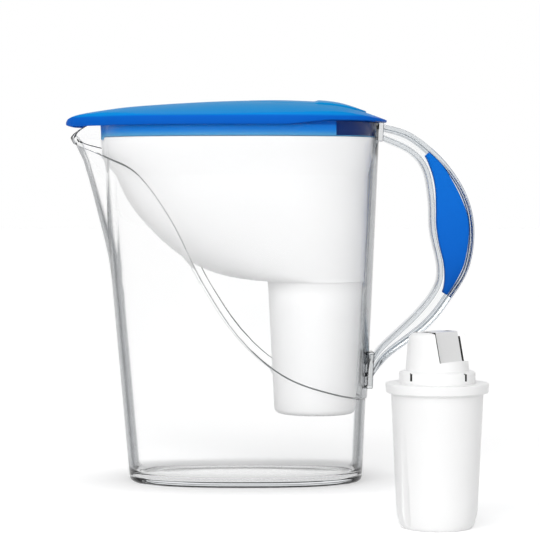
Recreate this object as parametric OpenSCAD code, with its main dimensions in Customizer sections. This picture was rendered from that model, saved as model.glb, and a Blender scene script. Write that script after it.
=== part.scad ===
// Water filter pitcher with a flip lid: a clear jug with a drawn-out spout and
// a bow handle with coloured grips, a drop-in funnel with a cartridge well, a
// domed lid with a hinged fill flap, and the filter cartridge taken out and
// standing beside the jug. Millimetres. +Z is up and +X points to the handle.
// The origin is the middle of the jug's foot, on the table.

/* [Jug] */
// Foot, from the origin forward
foot_front = 79.7; // [70:0.1:90]
// Foot, from the origin back to the handle side
foot_rear = 79.5; // [70:0.1:90]
// Half of the foot's width
foot_half_w = 46.2; // [42:0.1:52]
// Height of the jug's rim
jug_h = 245; // [230:1:260]
// Lean of the front wall
front_lean = 5.03; // [4:0.01:6]
// Lean of the rear wall
rear_lean = 2.52; // [2:0.01:3.5]
// Lean of the side walls
side_lean = 1.2; // [0.8:0.01:2]
// Thickness of the lower wall
jug_wall = 2.4; // [2:0.1:3]
// Thickness of the foot
foot_t = 4; // [3:0.1:6]
// Height that the upper panel is raised above the lower wall
panel_rise = 1; // [0.6:0.1:1.5]
// Depth of the funnel's ledge below the rim
ledge_depth = 12.5; // [10:0.1:15]
// Width of the funnel's ledge
ledge_w = 1.8; // [1.2:0.1:2.2]

/* [Spout] */
// Height at which the spout starts
spout_start = 137.5; // [120:0.5:160]
// How far the lip stands out from the front wall
spout_reach = 19.5; // [14:0.1:22]
// Half of the spout's width at the rim
spout_half_w = 25; // [20:0.5:28]
// How far the lip dips below the rim at its tip
spout_dip = 7.5; // [5:0.1:9]

/* [Handle] */
// Width of the handle
handle_w = 22; // [18:0.5:26]
// Thickness of the web in the middle of the handle
web_t = 4; // [3:0.1:6]
// Thickness of the edge flanges
flange_t = 2.6; // [2:0.1:3.2]
// How far the upper bracket stands off the jug
bracket_out = 2.5; // [2:0.1:4]
// How far the lower socket stands off the jug
socket_out = 6.5; // [5:0.1:8]
// Thickness of the socket's walls
socket_wall = 2; // [1.5:0.1:3]
// Thickness of one grip inlay
grip_t = 9.2; // [7:0.1:9.4]

/* [Funnel] */
// Wall of the funnel
funnel_wall = 1.8; // [1.4:0.1:2.4]
// Thickness of the funnel's rim flange
rim_flange_t = 1.7; // [1.2:0.1:2.2]
// Height of the funnel's floor above the table
funnel_floor = 137; // [130:0.5:150]
// Distance from the origin back to the well's axis
well_x = 47.3; // [42:0.1:48]
// Depth of the well below the funnel's floor
well_depth = 90.6; // [88:0.1:95]
// Inner radius at the bottom of the well
well_bottom_r = 26.2; // [25.5:0.1:27]
// Length of the cylindrical seat that guides the cartridge
seat_len = 8; // [6:0.5:10]
// Depth of the seat's ledge below the funnel's floor
seat_depth = 6; // [5.8:0.1:8]

/* [Lid] */
// Height of the dome above the jug's rim
dome_rise = 15.1; // [12:0.1:18]
// Wall of the lid
lid_wall = 2; // [1.6:0.1:2.4]
// How far the dome's edge stands out over the jug's wall
lid_overhang = 1.7; // [1:0.1:3]
// How far the rear tip stands out over the jug's wall
lid_tail = 5.8; // [4:0.1:8]
// How far the beak reaches past the spout's lip
beak_extra = 3.3; // [2:0.1:5]
// Fall of the dome from its middle to its side edge
dome_fall = 11; // [9:0.1:12]
// How far the skirt's front tongue hangs below the rest
tongue_drop = 2; // [1:0.1:3]
// Length of the skirt windows
window_l = 25; // [15:1:28]

/* [Flap] */
// Distance from the origin to the hinge's axis, toward the handle
hinge_x = -2; // [-10:0.5:5]
// Distance from the hinge's axis to the flap's rear end
flap_l = 84; // [76:0.5:85]
// Half of the flap's width
flap_half_w = 30; // [27:0.5:31]
// Thickness of the flap
flap_t = 2; // [1.6:0.1:2.4]
// Rise of the thumb pad above the dome
pad_rise = 1; // [0.5:0.1:1.5]
// Radius of the hinge pin
pin_r = 1.2; // [1:0.1:1.4]
// Half of the flap barrel's length
barrel_half = 10; // [8:0.5:12]
// Width of one hinge ear
ear_w = 3; // [2.5:0.5:3.5]

/* [Cartridge] */
// Radius of the cartridge's flange
cart_flange_r = 30.5; // [30:0.1:31]
// Thickness of the cartridge's flange
cart_flange_t = 5.6; // [5:0.1:6]
// Height of the cup below the flange
cup_h = 79.4; // [75:0.1:83]
// Radius of the cup below the flange
cup_top_r = 27; // [26.5:0.1:27.2]
// Radius of the cup at its foot
cup_foot_r = 23.75; // [23:0.1:24.5]
// Wall of the cup
cup_wall = 1.4; // [1:0.1:2]
// Radius of the cap's neck ring
neck_r = 22.35; // [21:0.1:23]
// Height of the cap's neck ring
neck_h = 7; // [5:0.1:8]
// Radius of the cap's dome at its foot
cap_r = 18.5; // [17:0.1:20]
// Height of the cap's dome
cap_h = 23; // [20:0.1:26]
// Where the cartridge stands, toward the handle side
cart_x = 114.3; // [110:0.1:130]
// Where the cartridge stands, in front of the jug
cart_y = -206; // [-230:0.5:-120]

/* [Fits] */
// Gap between pieces that lift out and what carries them
lift_gap = 0.3; // [0.2:0.05:0.5]
// Side clearance of the lid and funnel in the jug
side_gap = 0.5; // [0.4:0.05:0.7]
// Radial clearance of the hinge pin
pin_gap = 0.05; // [0.03:0.01:0.1]
// Radial clearance of the cartridge in its seat
seat_gap = 0.4; // [0.3:0.05:0.6]
// Gap between the flap and the lid round it
flap_gap = 0.4; // [0.3:0.05:0.6]

/* [Hidden] */
$fn = 96;

// Colours
CLEAR = [0.86, 0.90, 0.93, 0.35];
WHITE = [0.96, 0.96, 0.96];
BLUE = [0.04, 0.42, 0.82];

// Columns round every lofted ring: across the spout, then round the body
SPOUT_COLS = 12;
BODY_COLS = 52;
COLS = SPOUT_COLS + BODY_COLS;
COL_RANGE = [0:COLS - 1];

// Plan shapes are superellipses with these powers
BODY_POWER = 2.5;
FLAP_POWER = 3;
ROUND_POWER = 2;
TIP_SOFTNESS = 0.3;

function mix(a, b, f) = a + (b - a) * f;
function clamp(v) = min(1, max(0, v));
function spow(v, p) = sign(v) * pow(abs(v), p);

// Points along a smooth curve through the given points
function curve_at(p, i, f) =
    let (a = p[max(i - 1, 0)], b = p[i], c = p[i + 1], d = p[min(i + 2, len(p) - 1)])
    0.5 * (2 * b + (c - a) * f + (2 * a - 5 * b + 4 * c - d) * f * f
           + (3 * b - a - 3 * c + d) * f * f * f);
function curve(p, steps) =
    [for (i = [0:len(p) - 2], s = [0:steps - 1]) curve_at(p, i, s / steps), p[len(p) - 1]];

// ---- plan outlines ---------------------------------------------------------
// A plan is [front x, rear x, half width, power, spout half width, spout reach],
// and may end with the x at which it is widest
function widest_x(plan) = len(plan) > 6 ? plan[6] : (plan[0] + plan[1]) / 2;
function bump(u) = 1 - (sqrt(u * u + TIP_SOFTNESS * TIP_SOFTNESS) - TIP_SOFTNESS)
                       / (sqrt(1 + TIP_SOFTNESS * TIP_SOFTNESS) - TIP_SOFTNESS);
function body_x(plan, y) = let (cx = widest_x(plan))
    cx - (cx - plan[0]) * pow(1 - pow(abs(y) / plan[2], plan[3]), 1 / plan[3]);
function is_spout(i) = i > BODY_COLS;
function spout_u(i) = 1 - 2 * (i - BODY_COLS) / SPOUT_COLS;
function plan_point(i, plan) =
    is_spout(i)
    ? let (u = spout_u(i), y = plan[4] * u) [body_x(plan, y) - plan[5] * bump(abs(u)), y]
    : let (n = plan[3],
           gap = asin(pow(plan[4] / plan[2], n / 2)),
           t = mix(gap - 180, 180 - gap, i / BODY_COLS),
           cx = widest_x(plan),
           a = cos(t) < 0 ? cx - plan[0] : plan[1] - cx)
      [cx + a * spow(cos(t), 2 / n), plan[2] * spow(sin(t), 2 / n)];
function ring_at(plan, z) = [for (i = COL_RANGE) let (p = plan_point(i, plan)) [p[0], p[1], z]];
function circle_plan(x, r) = [x - r, x + r, r, ROUND_POWER, r / 2, 0];

// ---- lofts ------------------------------------------------------------------
// Each ring runs round the same columns; rings go up the outside and down the
// inside, so that one closed skin holds the whole wall
function loft_faces(rings, closed) =
    [for (r = [0:(closed ? rings - 1 : rings - 2)], i = COL_RANGE, half = [0, 1])
        let (a = r * COLS, b = ((r + 1) % rings) * COLS, j = (i + 1) % COLS)
        half == 0 ? [a + i, b + i, b + j] : [a + i, b + j, a + j]];
function cap_faces(first, centre, up) =
    [for (i = COL_RANGE) let (j = (i + 1) % COLS)
        up ? [first + i, centre, first + j] : [first + j, centre, first + i]];

module closed_loft(rings) {
    polyhedron([for (ring = rings) each ring], loft_faces(len(rings), true));
}

// A loft whose first and last rings are closed by flat or domed caps
module capped_loft(rings, first_centre, last_centre) {
    count = len(rings);
    polyhedron(
        [for (ring = rings) each ring, first_centre, last_centre],
        concat(loft_faces(count, false),
               cap_faces(0, count * COLS, false),
               cap_faces((count - 1) * COLS, count * COLS + 1, true)));
}

// ---- jug ----------------------------------------------------------------------
FOOT_ROUND = 4;
FLOOR_ROUND = 7;
SPOUT_POWER = 1.55;
SPOUT_START_W = 6;
SPOUT_FLARE = 0.7;
FLANK_SHARE = 0.4;
STEP_RUN = 1.4;
RIM_ROUND = 0.5;

ledge_z = jug_h - ledge_depth;
spout_tip_z = jug_h - spout_dip;
function front_x(z) = -foot_front - z * tan(front_lean);
function rear_x(z) = foot_rear + z * tan(rear_lean);
function side_y(z) = foot_half_w + z * tan(side_lean);
function spout_share(z) = clamp((z - spout_start) / (spout_tip_z - spout_start));
function spout_w(z) = mix(SPOUT_START_W, spout_half_w, pow(spout_share(z), SPOUT_FLARE));
function jug_plan(z, inset) =
    let (w = spout_w(z), w_in = w - FLANK_SHARE * inset)
    [front_x(z) + inset, rear_x(z) - inset, side_y(z) - inset, BODY_POWER, w_in,
     spout_reach * pow(spout_share(z), SPOUT_POWER) * w_in / w];
function jug_point(i, z, inset) = let (p = plan_point(i, jug_plan(z, inset))) [p[0], p[1], z];

// The lower edge of the raised panel sweeps from the spout's lip to the lower
// end of the handle: shares of the jug's plan length and of its height
SWEEP = curve([[-0.03, 0.955], [0.02, 0.938], [0.13, 0.898], [0.227, 0.851],
               [0.327, 0.727], [0.419, 0.566], [0.543, 0.411], [0.697, 0.307],
               [0.888, 0.252], [1.06, 0.228], [1.2, 0.228]], 5);
function sweep_z(x, z) =
    jug_h * lookup((x - front_x(z) + spout_reach) / (rear_x(z) - front_x(z) + spout_reach), SWEEP);
function sweep_column(i) =
    let (z1 = sweep_z(jug_point(i, jug_h / 2, 0)[0], jug_h / 2),
         z2 = sweep_z(jug_point(i, z1, 0)[0], z1),
         z3 = sweep_z(jug_point(i, z2, 0)[0], z2))
    (z2 + z3) / 2;
SWEEP_Z = [for (i = COL_RANGE) sweep_column(i)];

// The lip dips toward its tip
function rim_z(i) = jug_h - (is_spout(i)
    ? spout_dip * pow(clamp((bump(abs(spout_u(i))) - 0.4) / 0.6), 2) : 0);
// Above the ledge the wall is thinner, except across the spout
function upper_inset(i) = is_spout(i) ? jug_wall : jug_wall - ledge_w;

function jug_rings() =
    let (below = [0.3, 0.6, 0.72, 0.82, 0.91], above = [0.3, 0.65],
         down = [0.93, 0.85, 0.76, 0.66, 0.58])
    concat(
        [[for (i = COL_RANGE) jug_point(i, 0, FOOT_ROUND * 0.6)],
         [for (i = COL_RANGE) jug_point(i, FOOT_ROUND * 0.25, FOOT_ROUND * 0.15)],
         [for (i = COL_RANGE) jug_point(i, FOOT_ROUND, 0)]],
        [for (f = below) [for (i = COL_RANGE) jug_point(i, mix(FOOT_ROUND, SWEEP_Z[i], f), 0)]],
        [[for (i = COL_RANGE) jug_point(i, SWEEP_Z[i], 0)],
         [for (i = COL_RANGE) jug_point(i, SWEEP_Z[i] + STEP_RUN, -panel_rise)]],
        [for (f = above)
            [for (i = COL_RANGE) jug_point(i, mix(SWEEP_Z[i] + STEP_RUN, rim_z(i), f), -panel_rise)]],
        [[for (i = COL_RANGE) jug_point(i, rim_z(i) - RIM_ROUND, -panel_rise)],
         [for (i = COL_RANGE) jug_point(i, rim_z(i), RIM_ROUND - panel_rise)],
         [for (i = COL_RANGE) jug_point(i, rim_z(i), upper_inset(i))],
         [for (i = COL_RANGE) jug_point(i, ledge_z, upper_inset(i))],
         [for (i = COL_RANGE) jug_point(i, ledge_z, jug_wall)
                              + (is_spout(i) ? [0, 0, -FLOOR_ROUND] : [0, 0, 0])]],
        [for (f = down) [for (i = COL_RANGE) jug_point(i, jug_h * f, jug_wall)]],
        [for (a = [0, 30, 60, 90])
            [for (i = COL_RANGE) jug_point(i, foot_t + FLOOR_ROUND * (1 - sin(a)),
                                           jug_wall + FLOOR_ROUND * (1 - cos(a)))]]);

// Places things against the rear wall, with x = 0 on the raised panel
module on_rear_wall() {
    translate([foot_rear + panel_rise, 0, 0]) rotate([0, rear_lean, 0]) children();
}

BRACKET_H = 12.5;
SOCKET_H = 25;
SOCKET_SHARE = 0.2612;
BLOCK_SINK = 1.2;
socket_half = handle_w / 2 + socket_wall + lift_gap;
socket_low = jug_h * SOCKET_SHARE;

module jug_shell() color(CLEAR) difference() {
    union() {
        capped_loft(jug_rings(), [0, 0, 0], [0, 0, foot_t]);
        on_rear_wall() {
            translate([-BLOCK_SINK, -handle_w / 2, jug_h - BRACKET_H])
                cube([BLOCK_SINK + bracket_out, handle_w, BRACKET_H]);
            translate([-BLOCK_SINK, -socket_half, socket_low])
                cube([BLOCK_SINK + socket_out, 2 * socket_half, SOCKET_H]);
        }
    }
    on_rear_wall()
        translate([lift_gap, -handle_w / 2 - lift_gap, socket_low + socket_wall])
            cube([2 * socket_out, handle_w + 2 * lift_gap, SOCKET_H - 2 * socket_wall]);
}

// ---- handle ---------------------------------------------------------------------
// Edges of the bow as [distance behind the foot, share of the jug's height]
HANDLE_STEPS = 4;
OUTER_BOW = [[12.5, 0.996], [32.8, 0.97], [54.5, 0.898], [69.9, 0.805], [75.8, 0.707],
             [72.6, 0.6], [61.1, 0.515], [44.7, 0.431], [18.4, 0.35], [6.6, 0.292]];
INNER_BOW = [[12.1, 0.953], [31.7, 0.916], [41.5, 0.867], [45.3, 0.787], [46.4, 0.698],
             [51.3, 0.6], [49.1, 0.542], [36, 0.471], [12, 0.377], [6.6, 0.34]];
function bow(points) = curve([for (p = points) [foot_rear + p[0], jug_h * p[1]]], HANDLE_STEPS);
outer_edge = bow(OUTER_BOW);
inner_edge = bow(INNER_BOW);
function unit(v) = v / norm(v);
function slope_at(path, i) = unit(path[min(i + 1, len(path) - 1)] - path[max(i - 1, 0)]);
function shifted(path, i, d) = let (s = slope_at(path, i)) path[i] + d * [s[1], -s[0]];
function backwards(list) = [for (i = [len(list) - 1:-1:0]) list[i]];

// A band between the two edges, from one station of the bow to another
function band(first, last, outer_in, inner_in) =
    concat([for (i = [first:last]) shifted(outer_edge, i, outer_in)],
           backwards([for (i = [first:last]) shifted(inner_edge, i, -inner_in)]));
module upright(width) {
    rotate([90, 0, 0]) linear_extrude(width, center = true) children();
}

POCKET_ENDS = [3, 34];
// Edges of the crescent grips, given like the bow's
GRIP_OUTER_BOW = [[45.1, 0.9167], [54.5, 0.8792], [64.2, 0.8139], [70.6, 0.7514], [72.3, 0.7069],
                  [71.4, 0.6535], [68.4, 0.5996], [62.5, 0.5514], [57.4, 0.5208]];
GRIP_INNER_BOW = [[42.8, 0.9086], [47.5, 0.8584], [49.7, 0.8139], [50.2, 0.7592], [50.4, 0.7143],
                  [52.3, 0.6633], [55.4, 0.6102], [56.1, 0.5641], [54.9, 0.5273]];

module handle_frame() color(CLEAR) difference() {
    upright(handle_w) polygon(band(0, len(outer_edge) - 1, 0, 0));
    for (side = [-1, 1])
        translate([0, side * handle_w / 2, 0])
            upright(handle_w - web_t)
                polygon(band(POCKET_ENDS[0], POCKET_ENDS[1], flange_t, flange_t));
    // Flat faces against the upper bracket and inside the socket
    on_rear_wall()
        translate([-socket_out, -handle_w, jug_h - 2 * BRACKET_H])
            cube([socket_out + bracket_out, 2 * handle_w, 4 * BRACKET_H]);
    on_rear_wall()
        translate([-socket_out, -handle_w, 0])
            cube([socket_out + 2 * lift_gap, 2 * handle_w, socket_low + SOCKET_H]);
    on_rear_wall()
        translate([-socket_out, -handle_w, 0])
            cube([3 * socket_out, 2 * handle_w, socket_low + socket_wall + lift_gap]);
    on_rear_wall()
        translate([-socket_out, -handle_w, socket_low + SOCKET_H - socket_wall - lift_gap])
            cube([2 * socket_out + lift_gap, 2 * handle_w, SOCKET_H]);
}

module grip_inlay(side) color(BLUE)
    translate([0, side * (web_t + grip_t) / 2, 0])
        upright(grip_t)
            polygon(concat(bow(GRIP_OUTER_BOW), backwards(bow(GRIP_INNER_BOW))));
module grip_inlay_left() grip_inlay(1);
module grip_inlay_right() grip_inlay(-1);

// ---- funnel ---------------------------------------------------------------------
// Front edge of the boat-shaped bottom: [share of the depth, share of the way
// from the well to the front]; the rear wall leans a little
HULL = curve([[0, 0], [0.012, 0.13], [0.05, 0.29], [0.13, 0.455], [0.27, 0.62],
              [0.47, 0.785], [0.63, 0.875], [0.8, 0.935], [0.9, 0.955], [1, 0.985]], 3);
HULL_LEVELS = [0, 0.02, 0.06, 0.12, 0.2, 0.32, 0.46, 0.62, 0.8, 1];
FULLNESS = 3;
WIDEST_POWER = 0.75;
FLOOR_R_SHARE = 0.5;
FOOT_BAND = 1.2;
BOWL_SIDE_GAP = 2;
REAR_GAP = 5.8;
TONGUE_SHARE = 0.84;

well_rim_r = cart_flange_r + lift_gap;
well_out_r = well_rim_r + funnel_wall;
collar_mid_r = mix(well_rim_r, well_out_r, FLOOR_R_SHARE);
bowl_foot_r = well_out_r + FOOT_BAND;
bore_r = cup_top_r + seat_gap;
seat_z = funnel_floor - seat_depth;
well_bottom = funnel_floor - well_depth;
flange_z = ledge_z + lift_gap;
flange_top = flange_z + rim_flange_t;

tongue_half_w = spout_half_w * TONGUE_SHARE;
bowl_front = front_x(ledge_z) + jug_wall + side_gap;
bowl_rear = rear_x(ledge_z) - REAR_GAP;
function bowl_z(f) = mix(funnel_floor, flange_z, f);
function bowl_half(f) = side_y(bowl_z(f)) - jug_wall - BOWL_SIDE_GAP;
function hull_x(f) = mix(well_x - bowl_foot_r, bowl_front, lookup(f, HULL));
function bowl_plan(f, inset) =
    let (half = mix(bowl_foot_r, bowl_half(f), 1 - pow(1 - f, FULLNESS)) - inset)
    [hull_x(f) + inset, mix(well_x + bowl_foot_r, bowl_rear, f) - inset, half,
     mix(ROUND_POWER, BODY_POWER, clamp(3 * f)), half / 2, 0,
     mix(well_x, (bowl_front + bowl_rear) / 2, pow(f, WIDEST_POWER))];
function bowl_ring(f, inset, lift) =
    ring_at(bowl_plan(f, inset), bowl_z(f) + lift);
function flange_plan() = let (inset = jug_wall - ledge_w + side_gap)
    [front_x(ledge_z) + inset, rear_x(ledge_z) - inset, side_y(ledge_z) - inset, BODY_POWER,
     tongue_half_w, 0];
// Across the spout the flange is lower, to make room for the lid's tongue
function dipped(ring) = [for (i = COL_RANGE) ring[i] - (is_spout(i) ? [0, 0, tongue_drop] : [0, 0, 0])];
function floor_hole(z) = ring_at(circle_plan(well_x, collar_mid_r), z);

function funnel_rings() = concat(
    [floor_hole(funnel_floor)],
    [for (f = HULL_LEVELS) if (f < 1) bowl_ring(f, 0, 0)],
    [dipped(bowl_ring(1, 0, 0)),
     dipped(ring_at(flange_plan(), flange_z)),
     dipped(ring_at(flange_plan(), flange_top)),
     dipped(bowl_ring(1, funnel_wall, rim_flange_t))],
    [for (f = backwards(HULL_LEVELS)) if (f < 1)
        bowl_ring(f, funnel_wall * clamp(0.5 + 3 * f), funnel_wall * clamp(1.2 - f))],
    [floor_hole(funnel_floor + funnel_wall)]);

DRAIN_R = 3.5;
DRAIN_COUNT = 8;
DRAIN_CIRCLE = 17;
WELL_ROUND = 4;
COLLAR_LIP = 0.5;
SEAT_TAPER_H = 4;
collar_top = funnel_floor + funnel_wall + COLLAR_LIP;
seat_foot_z = seat_z - seat_len - SEAT_TAPER_H;
function well_outer(z) = mix(well_bottom_r + funnel_wall, well_out_r,
                             (z - well_bottom - WELL_ROUND) / (collar_top - well_bottom - WELL_ROUND));

module well_profile() polygon([
    [0, well_bottom],
    [well_bottom_r + funnel_wall - WELL_ROUND, well_bottom],
    [well_bottom_r + funnel_wall - WELL_ROUND * 0.3, well_bottom + WELL_ROUND * 0.3],
    [well_bottom_r + funnel_wall, well_bottom + WELL_ROUND],
    [well_out_r, collar_top],
    [well_rim_r, collar_top],
    [well_rim_r, seat_z],
    [bore_r, seat_z],
    [bore_r, seat_z - seat_len],
    [well_outer(seat_foot_z) - funnel_wall, seat_foot_z],
    [well_bottom_r, well_bottom + WELL_ROUND],
    [well_bottom_r - WELL_ROUND / 2, well_bottom + funnel_wall],
    [0, well_bottom + funnel_wall]]);

module funnel() color(WHITE) union() {
    closed_loft(funnel_rings());
    translate([well_x, 0, 0]) difference() {
        rotate_extrude() well_profile();
        for (k = [0:DRAIN_COUNT - 1])
            rotate([0, 0, k * 360 / DRAIN_COUNT])
                translate([DRAIN_CIRCLE, 0, well_bottom - funnel_wall])
                    cylinder(r = DRAIN_R, h = 3 * funnel_wall, $fn = 24);
    }
}

// ---- lid --------------------------------------------------------------------------
// Height of the dome along its length: [share from beak tip to rear tip, share of
// the dome's rise]
DOME = curve([[0, 0.13], [0.048, 0.37], [0.121, 0.55], [0.221, 0.728], [0.42, 0.914],
              [0.6, 1], [0.72, 0.985], [0.843, 0.85], [0.941, 0.41], [1, 0.093]], 4);
DOME_POWER = 2.4;
BEAK_W_SHARE = 1.25;
EDGE_ROUND = 1.2;

rim_out = -panel_rise - lid_overhang;
rim_plan = jug_plan(jug_h, rim_out);
lid_front = front_x(jug_h) + panel_rise - spout_reach - beak_extra;
lid_rear = rear_x(jug_h) + lid_tail;
beak_half_w = spout_half_w * BEAK_W_SHARE;
lid_plan = [rim_plan[0], lid_rear, rim_plan[2], BODY_POWER, beak_half_w, rim_plan[0] - lid_front];
function lid_top(p) = jug_h
    + dome_rise * lookup((p[0] - lid_front) / (lid_rear - lid_front), DOME)
    - dome_fall * pow(min(1, abs(p[1]) / rim_plan[2]), DOME_POWER);

skirt_z = flange_top + lift_gap;
lid_seat_z = jug_h + lift_gap;
skirt_inset = jug_wall - ledge_w + side_gap;
skirt_plan = [front_x(ledge_z) + skirt_inset, rear_x(ledge_z) - skirt_inset,
              side_y(ledge_z) - skirt_inset, BODY_POWER, tongue_half_w, 0];
function grown(plan, d) =
    [plan[0] - d, plan[1] + d, plan[2] + d, plan[3], plan[4], plan[5], widest_x(plan)];

// Flap opening
HINGE_CLEAR = 6;
FRONT_HALF = 12;
LEDGE_W = 6;
barrel_r = 2 * pin_r;
flap_plan = [hinge_x + barrel_r + 2 * flap_gap, hinge_x + flap_l, flap_half_w, FLAP_POWER, FRONT_HALF, 0];
flap_mid = [(flap_plan[0] + flap_plan[1]) / 2, 0];
recess_plan = [hinge_x - HINGE_CLEAR, hinge_x + flap_l + flap_gap, flap_half_w + flap_gap,
               FLAP_POWER, FRONT_HALF, 0, flap_mid[0]];
opening_plan = [hinge_x - barrel_r - flap_gap, hinge_x + flap_l - LEDGE_W,
                flap_half_w - LEDGE_W, FLAP_POWER, FRONT_HALF, 0, flap_mid[0]];
recess_depth = flap_t + 2 * flap_gap;

// Rings on the dome, a share of the way from one plan to another
function dome_ring(from, to, f, down) =
    [for (i = COL_RANGE) let (p = mix(plan_point(i, from), plan_point(i, to), f))
        [p[0], p[1], lid_top(p) - down]];
function hollow_ring(from, to, f, down) =
    [for (p = dome_ring(from, to, f, down)) [p[0], p[1], max(p[2], lid_seat_z)]];
function floor_ring(from, to, f, z) =
    [for (i = COL_RANGE) let (p = mix(plan_point(i, from), plan_point(i, to), f)) [p[0], p[1], z]];

function lid_rings() =
    let (skirt_in = grown(skirt_plan, -lid_wall), recess_out = grown(recess_plan, lid_wall),
         edge_in = 0.03)
    [dipped(ring_at(skirt_plan, skirt_z)),
     ring_at(skirt_plan, lid_seat_z),
     hollow_ring(skirt_plan, lid_plan, 0.15, lid_wall),
     hollow_ring(skirt_plan, lid_plan, 0.6, lid_wall + EDGE_ROUND),
     floor_ring(skirt_plan, lid_plan, 0.7, lid_seat_z),
     floor_ring(skirt_plan, lid_plan, 0.95, lid_seat_z),
     [for (i = COL_RANGE) let (p = plan_point(i, lid_plan))
         [p[0], p[1], mix(lid_seat_z, lid_top(p), 0.4)]],
     dome_ring(lid_plan, recess_plan, edge_in / 3, EDGE_ROUND / 2),
     dome_ring(lid_plan, recess_plan, edge_in * 2, 0),
     dome_ring(lid_plan, recess_plan, 0.35, 0),
     dome_ring(lid_plan, recess_plan, 0.7, 0),
     dome_ring(recess_plan, recess_plan, 0, 0),
     dome_ring(recess_plan, recess_plan, 0, recess_depth),
     dome_ring(opening_plan, opening_plan, 0, recess_depth),
     dome_ring(opening_plan, opening_plan, 0, recess_depth + lid_wall),
     dome_ring(recess_out, skirt_in, 0, recess_depth + lid_wall),
     dome_ring(recess_out, skirt_in, 0, lid_wall),
     dome_ring(recess_out, skirt_in, 0.6, lid_wall),
     dome_ring(recess_out, skirt_in, 1, lid_wall),
     dipped(ring_at(skirt_in, skirt_z))];

hinge_z = lid_top([hinge_x, 0]) - barrel_r - flap_gap / 2;
WINDOW_SILL = 0.6;
WINDOW_REAR_POST = 4.5;
window_rear = rear_x(ledge_z) - WINDOW_REAR_POST;

module hinge_rod(r, half) {
    translate([hinge_x, 0, hinge_z]) rotate([90, 0, 0]) cylinder(r = r, h = 2 * half, center = true);
}

ear_in = barrel_half + flap_gap;
pin_half = ear_in + ear_w - flap_gap;

module lid_shell() color(BLUE) difference() {
    union() {
        closed_loft(lid_rings());
        for (side = [-1, 1])
            translate([0, side * (ear_in + ear_w / 2), 0]) {
                translate([hinge_x, 0, hinge_z]) rotate([90, 0, 0])
                    cylinder(r = barrel_r, h = ear_w, center = true);
                translate([hinge_x - HINGE_CLEAR + 0.5, -ear_w / 2, hinge_z - barrel_r])
                    cube([HINGE_CLEAR - 0.5, ear_w, barrel_r + pin_r / 2]);
            }
    }
    hinge_rod(pin_r + pin_gap, ear_in + ear_w + 1);
    hinge_rod(barrel_r + flap_gap, ear_in);
    translate([window_rear - window_l, -side_y(jug_h), skirt_z + WINDOW_SILL])
        cube([window_l, 2 * side_y(jug_h), lid_seat_z - skirt_z - WINDOW_SILL]);
}

// ---- flap ---------------------------------------------------------------------------
PAD_START = 48;
PAD_RAMP = 4;
function flap_top(p) = lid_top(p) + pad_rise * clamp((p[0] - hinge_x - PAD_START) / PAD_RAMP);
function flap_plan_at(f) =
    let (cx = (flap_plan[0] + flap_plan[1]) / 2, a = (flap_plan[1] - flap_plan[0]) / 2)
    [cx - a * f, cx + a * f, flap_plan[2] * f, FLAP_POWER, flap_plan[4] * f, 0];
function flap_ring(f, under) =
    [for (i = COL_RANGE) let (p = plan_point(i, flap_plan_at(f)))
        [p[0], p[1], under ? lid_top(p) - flap_t : flap_top(p)]];
FLAP_SHARES = [0.3, 0.55, 0.75, 0.9, 1];

module fill_flap() color(BLUE) difference() {
    union() {
        capped_loft(
            concat([for (f = FLAP_SHARES) flap_ring(f, true)],
                   [for (f = backwards(FLAP_SHARES)) flap_ring(f, false)]),
            [flap_mid[0], 0, lid_top(flap_mid) - flap_t],
            [flap_mid[0], 0, flap_top(flap_mid)]);
        hinge_rod(barrel_r, barrel_half);
        translate([hinge_x, -barrel_half, hinge_z + barrel_r - flap_t])
            cube([2 * HINGE_CLEAR, 2 * barrel_half, flap_t]);
    }
    hinge_rod(pin_r + pin_gap, barrel_half + 1);
}

module flap_hinge_pin() color("silver") hinge_rod(pin_r, pin_half);

// ---- cartridge ------------------------------------------------------------------------
CUP_FOOT_H = 9;
CUP_FOOT_IN = 3.2;
CUP_INNER_CHAMFER = 3;
SCREEN_T = 1.2;
SCREEN_PLAY = 0.15;
CAP_WALL = 1.4;
CAP_ROUND = 5;
CAP_TAPER = 1.3;
NECK_SLOTS = 4;
NECK_SLOT_W = 1.6;
NECK_SLOT_TURN = 43;
NECK_SLOT_SILL = 2.2;
NECK_SLOT_HEAD = 0.8;
SCOOP_TURN = -47;
SCOOP_OFF = 11.2;
SCOOP_TILT = 13;
SCOOP_HALF = 9.6;
SCOOP_SILL = 5;
FLUTE_TURN = 217;
FLUTE_R = 6;
FLUTE_TILT = 3.6;
FLUTE_DEPTH = 1.45;

cup_top = cup_h + cart_flange_t;
cup_in_top = cup_top_r - cup_wall;
cup_in_foot = cup_foot_r - cup_wall;
function cup_inner_r(z) = mix(cup_in_foot, cup_in_top, clamp((z - CUP_FOOT_H) / (cup_h - CUP_FOOT_H)));
screen_z = cup_h - SCREEN_T;

module at_cartridge() translate([cart_x, cart_y, 0]) children();

module cartridge_cup() color(WHITE) at_cartridge() difference() {
    rotate_extrude() polygon([
        [0, 0],
        [cup_foot_r - CUP_FOOT_IN, 0],
        [cup_foot_r, CUP_FOOT_H],
        [cup_top_r, cup_h],
        [cart_flange_r, cup_h],
        [cart_flange_r, cup_top],
        [neck_r - CAP_WALL, cup_top],
        [neck_r - CAP_WALL, cup_h],
        [cup_in_top, cup_h],
        [cup_in_foot, CUP_FOOT_H],
        [cup_in_foot - CUP_INNER_CHAMFER, cup_wall],
        [0, cup_wall]]);
    // Flute that widens toward the foot
    rotate([0, 0, FLUTE_TURN])
        translate([cup_foot_r + FLUTE_R - FLUTE_DEPTH, 0, 0])
            rotate([0, FLUTE_TILT, 0])
                translate([0, 0, -2]) cylinder(r = FLUTE_R, h = cup_h * 0.9);
    // Slots in the floor
    for (k = [0:5])
        rotate([0, 0, 60 * k]) translate([6, -0.6, -1]) cube([9, 1.2, cup_wall + 2]);
}

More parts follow.
